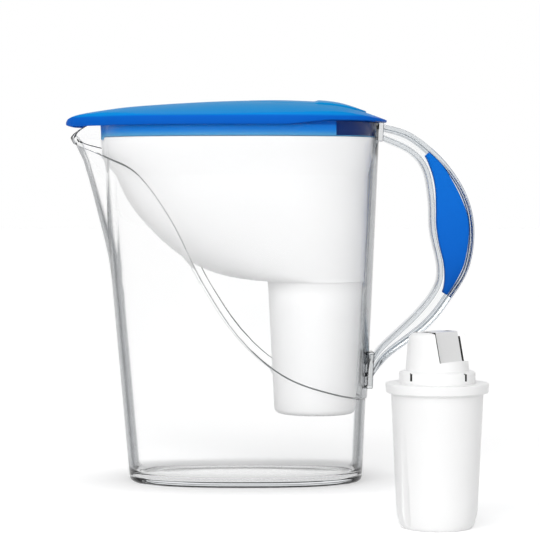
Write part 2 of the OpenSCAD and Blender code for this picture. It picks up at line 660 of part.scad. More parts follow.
module cap_solid(inset) rotate_extrude() polygon([
    [0, cup_top - (inset > 0 ? 1 : 0)],
    [neck_r - inset, cup_top - (inset > 0 ? 1 : 0)],
    [neck_r - inset, cup_top + neck_h - inset],
    [cap_r - inset, cup_top + neck_h - inset],
    [cap_r - CAP_TAPER - inset, cup_top + neck_h + cap_h - CAP_ROUND],
    [cap_r - CAP_TAPER - CAP_ROUND * 0.35 - inset, cup_top + neck_h + cap_h - CAP_ROUND * 0.35 - inset],
    [cap_r - CAP_TAPER - CAP_ROUND * 1.3 - inset, cup_top + neck_h + cap_h - inset],
    [0, cup_top + neck_h + cap_h - inset]]);

module cartridge_cap() color(WHITE) at_cartridge() difference() {
    cap_solid(0);
    difference() {
        cap_solid(CAP_WALL);
        // The web between the two finger recesses stays
        for (side = [0, 180]) rotate([0, 0, SCOOP_TURN + side]) scoop(-CAP_WALL);
    }
    for (side = [0, 180]) rotate([0, 0, SCOOP_TURN + side]) scoop(0);
    for (k = [0:NECK_SLOTS - 1])
        rotate([0, 0, k * 360 / NECK_SLOTS + NECK_SLOT_TURN])
            translate([neck_r - 2 * CAP_WALL, -NECK_SLOT_W / 2, cup_top + NECK_SLOT_SILL])
                cube([3 * CAP_WALL, NECK_SLOT_W, neck_h - NECK_SLOT_SILL - NECK_SLOT_HEAD]);
}
// A finger recess cut into the dome, its flat floor leaning inward at the top
module scoop(deeper) {
    translate([SCOOP_OFF + deeper, 0, cup_top + neck_h + SCOOP_SILL + deeper])
        rotate([0, -SCOOP_TILT, 0])
            translate([0, deeper - SCOOP_HALF, 0])
                cube([cap_r * 2, 2 * (SCOOP_HALF - deeper), cap_h * 1.5]);
}

module top_screen() color("lightgray") at_cartridge()
    translate([0, 0, screen_z]) cylinder(r = cup_inner_r(screen_z) - SCREEN_PLAY, h = SCREEN_T);

module filter_bed() color("dimgray") at_cartridge()
    rotate_extrude() polygon([
        [0, cup_wall + SCREEN_T],
        [cup_in_foot - CUP_INNER_CHAMFER, cup_wall + SCREEN_T],
        [cup_in_foot - SCREEN_PLAY, CUP_FOOT_H],
        [cup_inner_r(screen_z) - SCREEN_PLAY, screen_z],
        [0, screen_z]]);

module bottom_screen() color("lightgray") at_cartridge()
    translate([0, 0, cup_wall]) cylinder(r = cup_in_foot - CUP_INNER_CHAMFER, h = SCREEN_T);

jug_shell();
handle_frame();
grip_inlay_left();
grip_inlay_right();
funnel();
lid_shell();
fill_flap();
flap_hinge_pin();
cartridge_cup();
cartridge_cap();
top_screen();
filter_bed();
bottom_screen();
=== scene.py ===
# %% [markdown]
# # A water filter pitcher with a flip lid
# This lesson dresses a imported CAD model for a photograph. The pitcher is a clear
# moulded jug with a drawn-out spout and a bow handle. A white funnel hangs in it,
# a blue domed lid with a fill flap closes it, and its filter cartridge stands
# beside it. The CAD gives places and sizes. Blender gives fine forms, finishes
# and light. Lengths below are in millimetres, and MM turns them to metres.

import math
from collections import namedtuple

import bmesh
import bpy
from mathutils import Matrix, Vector


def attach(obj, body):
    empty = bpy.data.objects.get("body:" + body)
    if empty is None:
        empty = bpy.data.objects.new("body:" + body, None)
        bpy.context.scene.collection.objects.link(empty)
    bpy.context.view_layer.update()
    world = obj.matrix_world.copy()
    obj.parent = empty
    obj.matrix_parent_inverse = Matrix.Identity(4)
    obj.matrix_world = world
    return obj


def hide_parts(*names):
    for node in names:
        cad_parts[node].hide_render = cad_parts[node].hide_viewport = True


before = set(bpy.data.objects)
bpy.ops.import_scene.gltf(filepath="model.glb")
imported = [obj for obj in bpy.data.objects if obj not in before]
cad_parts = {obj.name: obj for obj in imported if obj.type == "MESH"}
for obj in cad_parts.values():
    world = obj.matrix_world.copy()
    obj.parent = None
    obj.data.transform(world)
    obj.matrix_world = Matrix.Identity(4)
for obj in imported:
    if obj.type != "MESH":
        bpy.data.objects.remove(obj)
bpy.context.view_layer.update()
MM = 0.001

# %% [markdown]
# ## The camera
# The photograph was taken from the side with a long lens, which keeps the sides
# nearly parallel. The horizon lies above the middle of the picture, so the camera
# stands below the lid and looks down a little. One picture doesn't fix its
# distance. That is a choice, and the focal length follows from it and the jug's
# height.

# %% Set the camera
PICTURE = 540
FOCAL_PX = 2044
SENSOR = 36
CAMERA_AT = (16.4, -1400, 188.9)
HORIZON_ROW = 205

camera_data = bpy.data.cameras.new("camera")
camera_data.sensor_width = SENSOR
camera_data.lens = FOCAL_PX / PICTURE * SENSOR
camera = bpy.data.objects.new("camera", camera_data)
bpy.context.collection.objects.link(camera)
pitch_down = math.atan((PICTURE / 2 - HORIZON_ROW) / FOCAL_PX)
camera.location = [c * MM for c in CAMERA_AT]
camera.rotation_euler = (math.pi / 2 - pitch_down, 0, 0)
bpy.context.scene.camera = camera
print("lens", round(camera_data.lens, 1), "mm")

# %% [markdown]
# ## Node helpers
# Every finish is a small tree of shader nodes. One function adds a node, sets its
# sockets and links it. Colours are written as sRGB hex, as a colour picker shows
# them, and one function turns them to the linear values that shaders need.

# %% Colour and node helpers
def colour(hex_code):
    """sRGB hex to linear red, green, blue and alpha."""
    linear = []
    for k in (0, 2, 4):
        c = int(hex_code[k:k + 2], 16) / 255
        linear.append(c / 12.92 if c <= 0.04045 else ((c + 0.055) / 1.055) ** 2.4)
    return (*linear, 1)


def add_node(tree, kind, settings=None, links=None):
    """Add a shader node. Settings are sockets or properties, links are sockets."""
    node = tree.nodes.new("ShaderNode" + kind)
    for name, value in (settings or {}).items():
        if isinstance(name, int) or name in node.inputs:
            node.inputs[name].default_value = value
        else:
            setattr(node, name, value)
    for name, source in (links or {}).items():
        tree.links.new(source, node.inputs[name])
    return node


def new_material(name):
    """An empty material: itself, its tree, its output and the place on the piece."""
    material = bpy.data.materials.new(name)
    material.use_nodes = True
    tree = material.node_tree
    tree.nodes.clear()
    return (material, tree, add_node(tree, "OutputMaterial"),
            add_node(tree, "TexCoord").outputs["Object"])


def calculate(tree, operation, first, second=None):
    """A Math node on one or two sockets."""
    links = {0: first} if second is None else {0: first, 1: second}
    return add_node(tree, "Math", {"operation": operation}, links).outputs[0]


def rescale(tree, value, settings):
    """A Map Range node. Its settings say from what range to what range."""
    return add_node(tree, "MapRange", settings, {"Value": value}).outputs[0]


def noise(tree, place, scale, detail):
    return add_node(tree, "TexNoise", {"Scale": scale, "Detail": detail},
                    {"Vector": place}).outputs["Fac"]


def upward(tree, vector):
    """The Z part of a vector."""
    return add_node(tree, "SeparateXYZ", {}, {0: vector}).outputs["Z"]


def blend_colours(tree, share, first, second_hex):
    """From one colour socket to a written colour."""
    return add_node(tree, "Mix", {"data_type": "RGBA", 7: colour(second_hex)},
                    {0: share, 6: first}).outputs[2]


# %% [markdown]
# ## The stage
# The photograph has a plain white ground with only a soft shadow under the object.
# The floor is white, and a little light of its own that only the eye, mirrors and
# glass see lifts it to white. The world does the same, so lamps stay at a plain
# level and the plastics keep their written colours. In an oval round the jug's foot
# the floor's own light is weaker, a painted shadow that adds to the soft shadow
# the lamps cast and lets it show.

# %% Floor and world
FLOOR_SIZE = 30000
FLOOR_GLOW = 0.37
PAINTED_SHADOW_GLOW = 0.2
SHADE_FROM = 75
SHADE_TO = 150
SHADE_SQUASH = 1.5
AMBIENT = 0.42


def seen_directly(tree):
    """1 for rays of the eye, mirrors and glass, 0 for rays that carry light on."""
    path = add_node(tree, "LightPath")
    seen = path.outputs["Is Camera Ray"]
    for kind in ("Is Glossy Ray", "Is Transmission Ray"):
        seen = calculate(tree, "MAXIMUM", seen, path.outputs[kind])
    return seen


bpy.ops.object.select_all(action="DESELECT")
bpy.ops.mesh.primitive_plane_add(size=FLOOR_SIZE * MM)
floor = bpy.context.object
floor.name = "floor"
floor_paint, tree, output, place = new_material("white_paper")
paper = add_node(tree, "BsdfDiffuse", {"Color": colour("f6f6f6")})
# Painted shadow: the floor's own light is weaker in an oval round the jug's foot
oval = add_node(tree, "VectorMath", {"operation": "MULTIPLY", 1: (1, SHADE_SQUASH, 0)}, {0: place})
away = add_node(tree, "VectorMath", {"operation": "LENGTH"}, {0: oval.outputs[0]})
share = rescale(tree, away.outputs["Value"],
                {"interpolation_type": "SMOOTHSTEP", "From Min": SHADE_FROM * MM,
                 "From Max": SHADE_TO * MM, "To Min": PAINTED_SHADOW_GLOW, "To Max": FLOOR_GLOW})
lift = calculate(tree, "MULTIPLY", seen_directly(tree), share)
glow = add_node(tree, "Emission", {}, {"Strength": lift})
both = add_node(tree, "AddShader", {}, {0: paper.outputs[0], 1: glow.outputs[0]})
tree.links.new(both.outputs[0], output.inputs["Surface"])
floor.data.materials.append(floor_paint)

world = bpy.data.worlds.new("white_room")
bpy.context.scene.world = world
world.use_nodes = True
tree = world.node_tree
tree.nodes.clear()
strength = rescale(tree, seen_directly(tree), {"To Min": AMBIENT, "To Max": 1})
sky = add_node(tree, "Background", {"Color": (1, 1, 1, 1)}, {"Strength": strength})
add_node(tree, "OutputWorld", {}, {"Surface": sky.outputs[0]})
bpy.context.scene.view_settings.view_transform = "Standard"
print("white stage ready")

# %% [markdown]
# ## Soft studio light
# The key light comes from the front, a little from the left and from above. It is
# a sun with a very wide disc, which lights the whole floor evenly and draws soft
# shadows. A panel high above draws the thin bright line along the lid's edge.

# %% Lamps
Lamp = namedtuple("Lamp", "name kind place aim size power")
LAMPS = [
    Lamp("key", "SUN", (-330, -1900, 900), (0, 0, 120), math.radians(70), 2.22),
    Lamp("top", "AREA", (-150, -350, 1400), (0, 0, 200), 500 * MM, 1.5),
]


def aim_at(thing, target):
    """Turn a lamp's own -Z axis toward a point."""
    way = target - thing.location
    thing.rotation_euler = way.to_track_quat("-Z", "Y").to_euler()


for lamp in LAMPS:
    data = bpy.data.lights.new(lamp.name, lamp.kind)
    if lamp.kind == "SUN":
        data.angle = lamp.size
    else:
        data.size = lamp.size
    data.energy = lamp.power
    light = bpy.data.objects.new(lamp.name, data)
    bpy.context.collection.objects.link(light)
    light.location = [c * MM for c in lamp.place]
    light.visible_camera = False
    aim_at(light, Vector(lamp.aim) * MM)
    print("lamp", lamp.name, lamp.power)

# %% [markdown]
# ## Clear plastic
# The jug and handle are injection-moulded SAN, a clear hard plastic. It bends
# light like glass, IOR 1.57, and its moulded skin is polished. A Layer Weight
# paints shade on the light that enters at a flat angle, standing in for the dark
# corners a white room has behind the camera, and this painted shade draws the
# walls and the keel against white. Absorption in its depth turns long ways grey,
# most of all through the handle's flanges. Lamps reach what is inside through a
# clear shader. The step between the jug's panels, and the handle's socket and
# bracket, have a painted grey shade of their own, which shows from outside only.

# %% Clear moulded SAN
SAN_IOR = 1.57
ABSORB_PER_M = 6
HANDLE_ABSORB_PER_M = 35
FLOW_PER_M = 28
FOOT_EDGE_LOW = 5
FOOT_EDGE_HIGH = 9
FOOT_WHITE = 0.9
FOOT_SHADE_Z = 40
FOOT_SHADE = 0.6


def clear_san(name, edges, absorb=ABSORB_PER_M, rough=0.0, outside_only=False):
    """Clear plastic. Edges are (how far a face turns away, painted shade on what it lets through).
    """
    material, tree, output, place = new_material(name)
    # Painted shade: faces turned away from the eye let through a darker colour
    turned_away = add_node(tree, "LayerWeight", {"Blend": 0.5}).outputs["Facing"]
    painted_edge_shade = add_node(tree, "ValToRGB", {}, {"Fac": turned_away})
    stops = painted_edge_shade.color_ramp.elements
    stops.new(0.5)
    for stop, (position, shade) in zip(stops, edges):
        stop.position = position
        stop.color = colour(shade)
    height = upward(tree, place)
    # Near the thick, rounded foot the painted edge shade fades to white, so its edges stay lighter
    # than the walls'
    low = rescale(tree, height, {"From Min": FOOT_EDGE_LOW * MM, "To Min": FOOT_WHITE,
                                 "From Max": FOOT_EDGE_HIGH * MM, "To Max": 0})
    shade = blend_colours(tree, low, painted_edge_shade.outputs["Color"], "ffffff")
    if outside_only:
        inner = add_node(tree, "NewGeometry").outputs["Backfacing"]
        shade = blend_colours(tree, inner, shade, "ffffff")
    # Slow flow marks of the melt, one about every 35 mm and microns deep
    marks = add_node(tree, "Bump", {"Strength": 0.05, "Distance": 0.0004},
                     {"Height": noise(tree, place, FLOW_PER_M, 1)})
    skin = add_node(tree, "BsdfPrincipled",
                    {"IOR": SAN_IOR, "Roughness": rough, "Transmission Weight": 1,
                     "Specular Tint": (0.05, 0.05, 0.05, 1)},
                    {"Base Color": shade, "Normal": marks.outputs[0]})
    # Lamps shine through, but the foot of the upright wall shades the table
    foot = rescale(tree, height, {"From Max": FOOT_SHADE_Z * MM, "To Min": FOOT_SHADE})
    level_face = calculate(tree, "ABSOLUTE",
                           upward(tree, add_node(tree, "NewGeometry").outputs["Normal"]))
    through = calculate(tree, "MAXIMUM", foot, level_face)
    clear = add_node(tree, "BsdfTransparent", {}, {"Color": through})
    path = add_node(tree, "LightPath")
    surface = skin
    for kind in ("Is Shadow Ray", "Is Diffuse Ray"):
        surface = add_node(tree, "MixShader", {},
                           {0: path.outputs[kind], 1: surface.outputs[0], 2: clear.outputs[0]})
    depth = add_node(tree, "VolumeAbsorption", {"Color": colour("b8c0c6"), "Density": absorb})
    tree.links.new(surface.outputs[0], output.inputs["Surface"])
    tree.links.new(depth.outputs[0], output.inputs["Volume"])
    return material


# Painted edge shade: grey on the jug, grey even face-on for the step, socket and bracket, blue-grey
# on the handle
JUG_CLEAR = clear_san("clear_san_jug", [(0.46, "ffffff"), (0.57, "74777a"), (1, "505356")])
STEP_PAINTED_SHADE = clear_san("clear_san_painted_step_shade", [(0.1, "cccecf"), (0.5, "b0b2b4"), (1, "7a7d80")],
                       outside_only=True)
HANDLE_CLEAR = clear_san("clear_san_handle", [(0.28, "ffffff"), (0.5, "7c8c9c"), (1, "4c565f")],
                         HANDLE_ABSORB_PER_M, 0.05)
print("clear plastic, IOR", SAN_IOR)

# %% [markdown]
# ## Coloured and white plastic
# The lid and flap are glossy polypropylene, dyed through, and the light goes a
# little way into it. The grips are softer rubber with a finer grain and less
# gloss. Funnel and cartridge are white polypropylene, which is milky and satin.
# One function makes them all, because only their numbers differ. The lid's blue
# is painted lighter and more cyan toward the dome's crown and at the skirt's
# lower edge, and deep in the band between, painted light and shade, and the
# grips are painted darker toward the bottom, painted shade. The insides of
# recesses and slots, and the backs of the cap's finger recesses, get darker
# materials, painted shade. The grain is that of the mould's steel.
# It is drawn at half a millimetre, coarser than real, so that it can show at all.

# %% Moulded polypropylene and rubber
GRAIN_MM = 0.5
CLOUD_MM = 60


def shade_by_height(tree, place, shades):
    """A colour that changes with height, which paints light and shade on the lid and grips. Shades
    are (height in mm, sRGB hex).
    """
    low, high = shades[0][0], shades[-1][0]
    share = rescale(tree, upward(tree, place), {"From Min": low * MM, "From Max": high * MM})
    ramp = add_node(tree, "ValToRGB", {}, {"Fac": share})
    stops = ramp.color_ramp.elements
    while len(stops) < len(shades):
        stops.new(0.5)
    for stop, (height, shade) in zip(stops, shades):
        stop.position = (height - low) / (high - low)
    for stop, (height, shade) in zip(stops, shades):
        stop.color = colour(shade)
    return ramp.outputs["Color"]


def moulded(name, shades, gloss, rough, grain_um, depth, milky):
    """An opaque plastic. Its grain is in micrometres, the depth that light goes in mm."""
    material, tree, output, place = new_material(name)
    # The dye is never mixed quite evenly: clouds that darken it by a few percent
    clouds = noise(tree, place, 1 / (CLOUD_MM * MM), 2)
    even = shade_by_height(tree, place, shades)
    shade = add_node(tree, "Mix", {"data_type": "RGBA", "blend_type": "MULTIPLY", 0: 0.05},
                     {6: even, 7: clouds})
    skin = add_node(tree, "Bump", {"Strength": 0.4, "Distance": grain_um * 1e-6},
                    {"Height": noise(tree, place, 1 / (GRAIN_MM * MM), 3)})
    wear = rescale(tree, clouds, {"To Min": rough * 0.85, "To Max": rough * 1.25})
    body = add_node(tree, "BsdfPrincipled",
                    {"IOR": 1.49, "Specular IOR Level": gloss,
                     "Subsurface Weight": milky, "Subsurface Scale": depth * MM},
                    {"Base Color": shade.outputs[2], "Roughness": wear,
                     "Normal": skin.outputs[0]})
    body.inputs["Subsurface Radius"].default_value = (1, 1, 1)
    tree.links.new(body.outputs[0], output.inputs["Surface"])
    return material


# Painted light and shade by height: pale cyan at the skirt's lower edge, deep blue in the edge
# band, cyan on the dome
LID_PAINTED_LIGHT_SHADES = [(232, "74b0d4"), (235.8, "4d98cc"), (238.5, "1b80da"), (241.6, "147adc"),
              (242.4, "0a5abc"), (247.6, "0a61c8"), (249, "0c88da"), (251, "0c8cd4"),
              (261, "0890cc")]
LID_BLUE = moulded("blue_polypropylene_gloss_painted_light", LID_PAINTED_LIGHT_SHADES, 0.02, 0.35, 4, 1, 0.05)
# Painted shade: the grips darken toward the bottom
GRIP_PAINTED_SHADES = [(125, "0a4fa6"), (155, "0a60c2"), (190, "0b68cc"), (230, "0c6ed0")]
GRIP_BLUE = moulded("blue_rubber_matt_painted_shade", GRIP_PAINTED_SHADES, 0.04, 0.45, 20, 1, 0.05)
FUNNEL_WHITE = moulded("white_polypropylene_satin", [(0, "fbfbfb"), (300, "fcfcfc")],
                       0.4, 0.38, 8, 3, 0.3)
# Painted shade: navy in the skirt's recesses, dark grey in the cap's slots, pale grey on the backs
# of its finger recesses
NAVY_PAINTED_SHADE = moulded("blue_polypropylene_in_shade", [(230, "152c64"), (250, "0c2f74")],
                      0.05, 0.5, 4, 1, 0)
GREY_PAINTED_SHADE = moulded("white_polypropylene_in_shade", [(0, "3c3c3c"), (200, "404040")],
                      0.05, 0.6, 4, 1, 0)
SCOOP_PAINTED_SHADE = moulded("white_polypropylene_recess_painted_shade", [(0, "e2e2e2"), (200, "e4e4e4")],
                     0.3, 0.4, 8, 2, 0.1)
CARTRIDGE_WHITE = moulded("white_polypropylene_gloss", [(0, "f4f4f4"), (300, "f6f6f6")],
                          0.5, 0.3, 8, 2, 0.2)
print("moulded plastics:", LID_BLUE.name, GRIP_BLUE.name, FUNNEL_WHITE.name, CARTRIDGE_WHITE.name)

# %% [markdown]
# ## Rims: the way hollow pieces are pulled up
# Jug, funnel and lid are all thin walls whose outline changes with height. By
# hand one adds a circle, shapes it to the outline, extrudes it, shapes it again,
# and so on up the outside and down the inside, so that one closed skin holds the
# whole wall. Each corner of the circle carries its column number, which extruding
# copies, and so every new rim can be laid on its outline.

# %% Rim helpers
def deselect():
    if bpy.context.object and bpy.context.object.mode == "EDIT":
        bpy.ops.object.mode_set(mode="OBJECT")
    bpy.ops.object.select_all(action="DESELECT")


def settle(piece, at=None, turn=(0, 0, 0)):
    """Take one piece in hand, put it in place and write its place into its mesh."""
    deselect()
    piece.select_set(True)
    bpy.context.view_layer.objects.active = piece
    if at:
        piece.rotation_euler, piece.location = turn, [c * MM for c in at]
    bpy.ops.object.transform_apply(location=True, rotation=True, scale=True)
    return piece


def lay_rim(piece, places):
    """Put the selected corners on their places, each by its column number."""
    mesh = bmesh.from_edit_mesh(piece.data)
    column = mesh.verts.layers.int["column"]
    for corner in mesh.verts:
        if corner.select:
            corner.co = [c * MM for c in places[corner[column]]]


def begin_rim(name, places):
    """A circle laid on the first outline, left open in edit mode."""
    deselect()
    bpy.ops.mesh.primitive_circle_add(vertices=len(places), radius=0.05, fill_type="NOTHING")
    piece = bpy.context.object
    piece.name = name
    bpy.ops.object.mode_set(mode="EDIT")
    mesh = bmesh.from_edit_mesh(piece.data)
    column = mesh.verts.layers.int.new("column")
    for corner in mesh.verts:
        corner[column] = corner.index
    lay_rim(piece, places)
    return piece


def pull_rims(name, rims, closed=False):
    """A skin through all the rims. A closed one joins its last rim to its first."""
    piece = begin_rim(name, rims[0])
    for places in rims[1:]:
        bpy.ops.mesh.extrude_region_move()
        lay_rim(piece, places)
    bpy.ops.mesh.select_all(action="DESELECT")
    bpy.ops.mesh.select_non_manifold()
    if closed:
        bpy.ops.mesh.bridge_edge_loops()
    else:
        bpy.ops.mesh.fill_holes(sides=0)
    bpy.ops.mesh.select_all(action="SELECT")
    bpy.ops.mesh.normals_make_consistent(inside=False)
    bpy.ops.object.mode_set(mode="OBJECT")
    return piece


def carve(piece, tool, how="DIFFERENCE"):
    """Cut a tool out of a piece, or melt it on with UNION."""
    modifier = piece.modifiers.new(how.lower(), "BOOLEAN")
    modifier.operation = how
    modifier.object = tool
    modifier.solver = "EXACT"
    bpy.context.view_layer.objects.active = piece
    bpy.ops.object.modifier_apply(modifier=modifier.name)
    bpy.data.objects.remove(tool)


def block(low, high, soften=0):
    """A box between two corners in millimetres, its edges rounded where asked."""
    deselect()
    bpy.ops.mesh.primitive_cube_add(size=1)
    tool = bpy.context.object
    tool.scale = [(b - a) * MM for a, b in zip(low, high)]
    settle(tool, [(a + b) / 2 for a, b in zip(low, high)])
    if soften:
        bpy.ops.object.mode_set(mode="EDIT")
        bpy.ops.mesh.select_all(action="SELECT")
        bpy.ops.mesh.bevel(offset=soften * MM, segments=3, affect="EDGES")
        bpy.ops.object.mode_set(mode="OBJECT")
    return tool


def flared(low, high, times):
    """A box that opens out sideways toward +X, its outer face that many times as wide."""
    tool = block(low, high)
    for spot in tool.data.vertices:
        if spot.co.x > (low[0] + high[0]) / 2 * MM:
            spot.co.y *= times
    return tool


def rod(centre, radius, length, along="Z", corners=48):
    """A cylinder in millimetres along one axis."""
    turn = {"X": (0, math.pi / 2, 0), "Y": (math.pi / 2, 0, 0), "Z": (0, 0, 0)}[along]
    deselect()
    bpy.ops.mesh.primitive_cylinder_add(vertices=corners, radius=radius * MM, depth=length * MM,
                                        location=[c * MM for c in centre], rotation=turn)
    return settle(bpy.context.object)


def dress(piece, material, slot, body, *nodes, sharp=32):
    """Shade a finished piece, give it its finish and tie it to the CAD."""
    settle(piece)
    bpy.ops.object.shade_smooth_by_angle(angle=math.radians(sharp))
    piece.data.materials.clear()
    piece.data.materials.append(material)
    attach(piece, body)
    if nodes:
        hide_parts(*nodes)
    print(piece.name, len(piece.data.polygons), "faces")


def paint_shade_on_faces(piece, material, chosen):
    """Paint shade on the faces whose middle, in millimetres, is chosen, by giving them another
    material.
    """
    piece.data.materials.append(material)
    for face in piece.data.polygons:
        if chosen(*(c / MM for c in face.center)):
            face.material_index = len(piece.data.materials) - 1


def mix(a, b, share):
    return a + (b - a) * share


def clamp(v):
    return min(1, max(0, v))


def ramp(v, low, high):
    """0 up to low, 1 from high on, and a straight rise between them."""
    return clamp((v - low) / (high - low))


def sine_and_cosine(*angles):
    """Pairs for rounding an edge in steps, from angles in degrees."""
    return [(math.sin(math.radians(a)), math.cos(math.radians(a))) for a in angles]


def spread(first, last, count):
    """Evenly spaced shares from first to last, both ends counted."""
    return [mix(first, last, k / (count - 1)) for k in range(count)]


def smooth_curve(points, steps):
    """A Catmull-Rom curve through points of any dimension."""
    def at(i, f):
        a, b, c = points[max(i - 1, 0)], points[i], points[i + 1]
        d = points[min(i + 2, len(points) - 1)]
        return tuple(0.5 * (2 * q + (r - p) * f + (2 * p - 5 * q + 4 * r - s) * f * f
                            + (3 * q - p - 3 * r + s) * f ** 3)
                     for p, q, r, s in zip(a, b, c, d))
    whole = [at(i, k / steps) for i in range(len(points) - 1) for k in range(steps)]
    return whole + [tuple(points[-1])]


def look_up(x, table):
    """The height of a curve, given as points, at x."""
    if x <= table[0][0]:
        return table[0][1]
    for (x0, y0), (x1, y1) in zip(table, table[1:]):
        if x <= x1:
            return mix(y0, y1, (x - x0) / (x1 - x0))
    return table[-1][1]


print("rim helpers ready")

# %% [markdown]
# ## Outlines seen from above
# Every hollow piece is a rounded rectangle from above, a superellipse, with a
# tapered spout drawn out of its front. A plan holds its numbers. The first
# columns run round the body, the rest across the spout, the same on every rim, so
# that the skin never twists. Many columns keep the refraction smooth.

# %% Plans
Plan = namedtuple("Plan", "front rear half power lip_half reach widest", defaults=(None,))
BODY_COLUMNS = 132
SPOUT_COLUMNS = 32
COLUMNS = range(BODY_COLUMNS + SPOUT_COLUMNS)
BODY_POWER = 2.5
TIP_SOFTNESS = 0.3


def power_of(v, p):
    return math.copysign(abs(v) ** p, v)


def bump(u):
    """The spout's outline across its width: 1 at the tip, 0 at its sides."""
    soft = TIP_SOFTNESS
    return 1 - (math.hypot(u, soft) - soft) / (math.hypot(1, soft) - soft)


def across(i):
    """Where a spout column lies, from 1 to -1 across the spout, or None."""
    return 1 - 2 * (i - BODY_COLUMNS) / SPOUT_COLUMNS if i > BODY_COLUMNS else None


def middle_of(plan):
    """Where a plan is widest: halfway along, unless it says otherwise."""
    return (plan.front + plan.rear) / 2 if plan.widest is None else plan.widest


def corner(i, plan):
    """The place of one column on a plan."""
    middle = middle_of(plan)
    n, u = plan.power, across(i)
    if u is not None:
        y = plan.lip_half * u
        side = (1 - (abs(y) / plan.half) ** n) ** (1 / n)
        return middle - (middle - plan.front) * side - plan.reach * bump(abs(u)), y
    gap = math.asin((plan.lip_half / plan.half) ** (n / 2))
    t = mix(gap - math.pi, math.pi - gap, i / BODY_COLUMNS)
    half_length = middle - plan.front if math.cos(t) < 0 else plan.rear - middle
    return (middle + half_length * power_of(math.cos(t), 2 / n),
            plan.half * power_of(math.sin(t), 2 / n))


def rim(plan, height):
    """Corners of a plan at a height, or at heights that depend on the place."""
    spots = [corner(i, plan) for i in COLUMNS]
    return [(x, y, height(x, y) if callable(height) else height) for x, y in spots]


def circle(x, radius):
    return Plan(x - radius, x + radius, radius, 2, radius / 2, 0)


def grown(plan, d):
    return plan._replace(front=plan.front - d, rear=plan.rear + d, half=plan.half + d,
                         widest=middle_of(plan))


def inside(plan, x, y, by):
    """True for a place that lies within a plan by some distance or more."""
    plan = grown(plan, -by)
    run = plan.rear - plan.widest if x > plan.widest else plan.widest - plan.front
    return (abs(x - plan.widest) / run) ** plan.power + (abs(y) / plan.half) ** plan.power < 1


print(len(COLUMNS), "columns")

# %% [markdown]
# ## The jug
# On the real jug the front wall leans out and is drawn into a keel and a spout
# from half its height. The upper part stands a millimetre proud of the lower, and
# the edge between them sweeps from the lip down to the foot of the handle. Rims
# follow that sweep, so the step is crisp without a dense mesh. The wall is thinner
# above the ledge that carries the funnel.

# %% Jug outline
JUG_H = 245
JUG_WALL = 2.4
FOOT_T = 4
PANEL_RISE = 1
LEDGE_Z = 232.5
LEDGE_W = 1.8
SPOUT_FROM = 137.5
SPOUT_REACH = 19.5
SPOUT_HALF = 25
SPOUT_DIP = 7.5
RIM_DIP = 9.5
LIP_CURL = 2.2
CURL_FROM, CURL_FULL, CURL_END = 180, 222, 235
SPOUT_ROOT_W = 6
FRONT_FOOT, FRONT_LEAN = -79.7, math.radians(5.03)
REAR_FOOT, REAR_LEAN = 79.5, math.radians(2.52)
SIDE_FOOT, SIDE_LEAN = 46.2, math.radians(1.2)


def front_x(z):
    return FRONT_FOOT - z * math.tan(FRONT_LEAN)


def rear_x(z):
    return REAR_FOOT + z * math.tan(REAR_LEAN)


def side_y(z):
    return SIDE_FOOT + z * math.tan(SIDE_LEAN)


def sweep_at(x, z):
    """The height of the sweep at a length along the jug, whose walls lean."""
    length = rear_x(z) - front_x(z) + SPOUT_REACH
    return JUG_H * look_up((x - front_x(z) + SPOUT_REACH) / length, SWEEP)


def jug_plan(z, inset):
    share = ramp(z, SPOUT_FROM, JUG_H - SPOUT_DIP)
    lip = mix(SPOUT_ROOT_W, SPOUT_HALF, share ** 0.7)
    lip_in = lip - 0.4 * inset
    # Just under the lip the keel draws in, so that the lip curls out over it
    curl = LIP_CURL * ramp(z, CURL_FROM, CURL_FULL) * (1 - ramp(z, CURL_FULL, CURL_END))
    return Plan(front_x(z) + inset, rear_x(z) - inset, side_y(z) - inset, BODY_POWER,
                lip_in, (SPOUT_REACH * share ** 1.55 - curl) * lip_in / lip)


def jug_rim(height, inset):
    """A rim of the jug. Height and inset are numbers or lists, one per column."""
    places = []
    for i in COLUMNS:
        z = height[i] if isinstance(height, list) else height
        x, y = corner(i, jug_plan(z, inset[i] if isinstance(inset, list) else inset))
        places.append((x, y, z))
    return places


SWEEP = smooth_curve([(-0.03, 0.955), (0.02, 0.938), (0.13, 0.898), (0.227, 0.851),
                      (0.327, 0.727), (0.419, 0.566), (0.543, 0.411), (0.697, 0.307),
                      (0.888, 0.252), (1.06, 0.228), (1.2, 0.228)], 12)


def sweep_height(i):
    """The height of the sweep on a column, found by a few rounds of aiming."""
    z, trail = JUG_H / 2, []
    for _ in range(8):
        z = sweep_at(corner(i, jug_plan(z, 0))[0], z)
        trail.append(z)
    return (trail[-1] + trail[-2]) / 2


sweep = [sweep_height(i) for i in COLUMNS]
lip_dip = [RIM_DIP * clamp((bump(abs(across(i))) - 0.2) / 0.8) ** 1.2 if across(i) is not None
           else 0 for i in COLUMNS]
rim_top = [JUG_H - dip for dip in lip_dip]
print("sweep from", round(max(sweep), 1), "down to", round(min(sweep), 1), "mm")

# %% Jug rims
FOOT_ROUND = 4
FOOT_LIFT = 0.15
FOOT_IN = 3.4
FLOOR_ROUND = 7
LEDGE_SLOPE = 12
UNDER_RECESS = 1.2


def between(low, high, share):
    return [mix(a, b, share) for a, b in zip(low, high)]


def level(z):
    return [z] * len(COLUMNS)


def centred(places, share, z):
    """A rim shrunk toward its middle, for closing floors."""
    middle = (min(p[0] for p in places) + max(p[0] for p in places)) / 2
    return [(middle + (x - middle) * share, y * share, z) for x, y, _ in places]


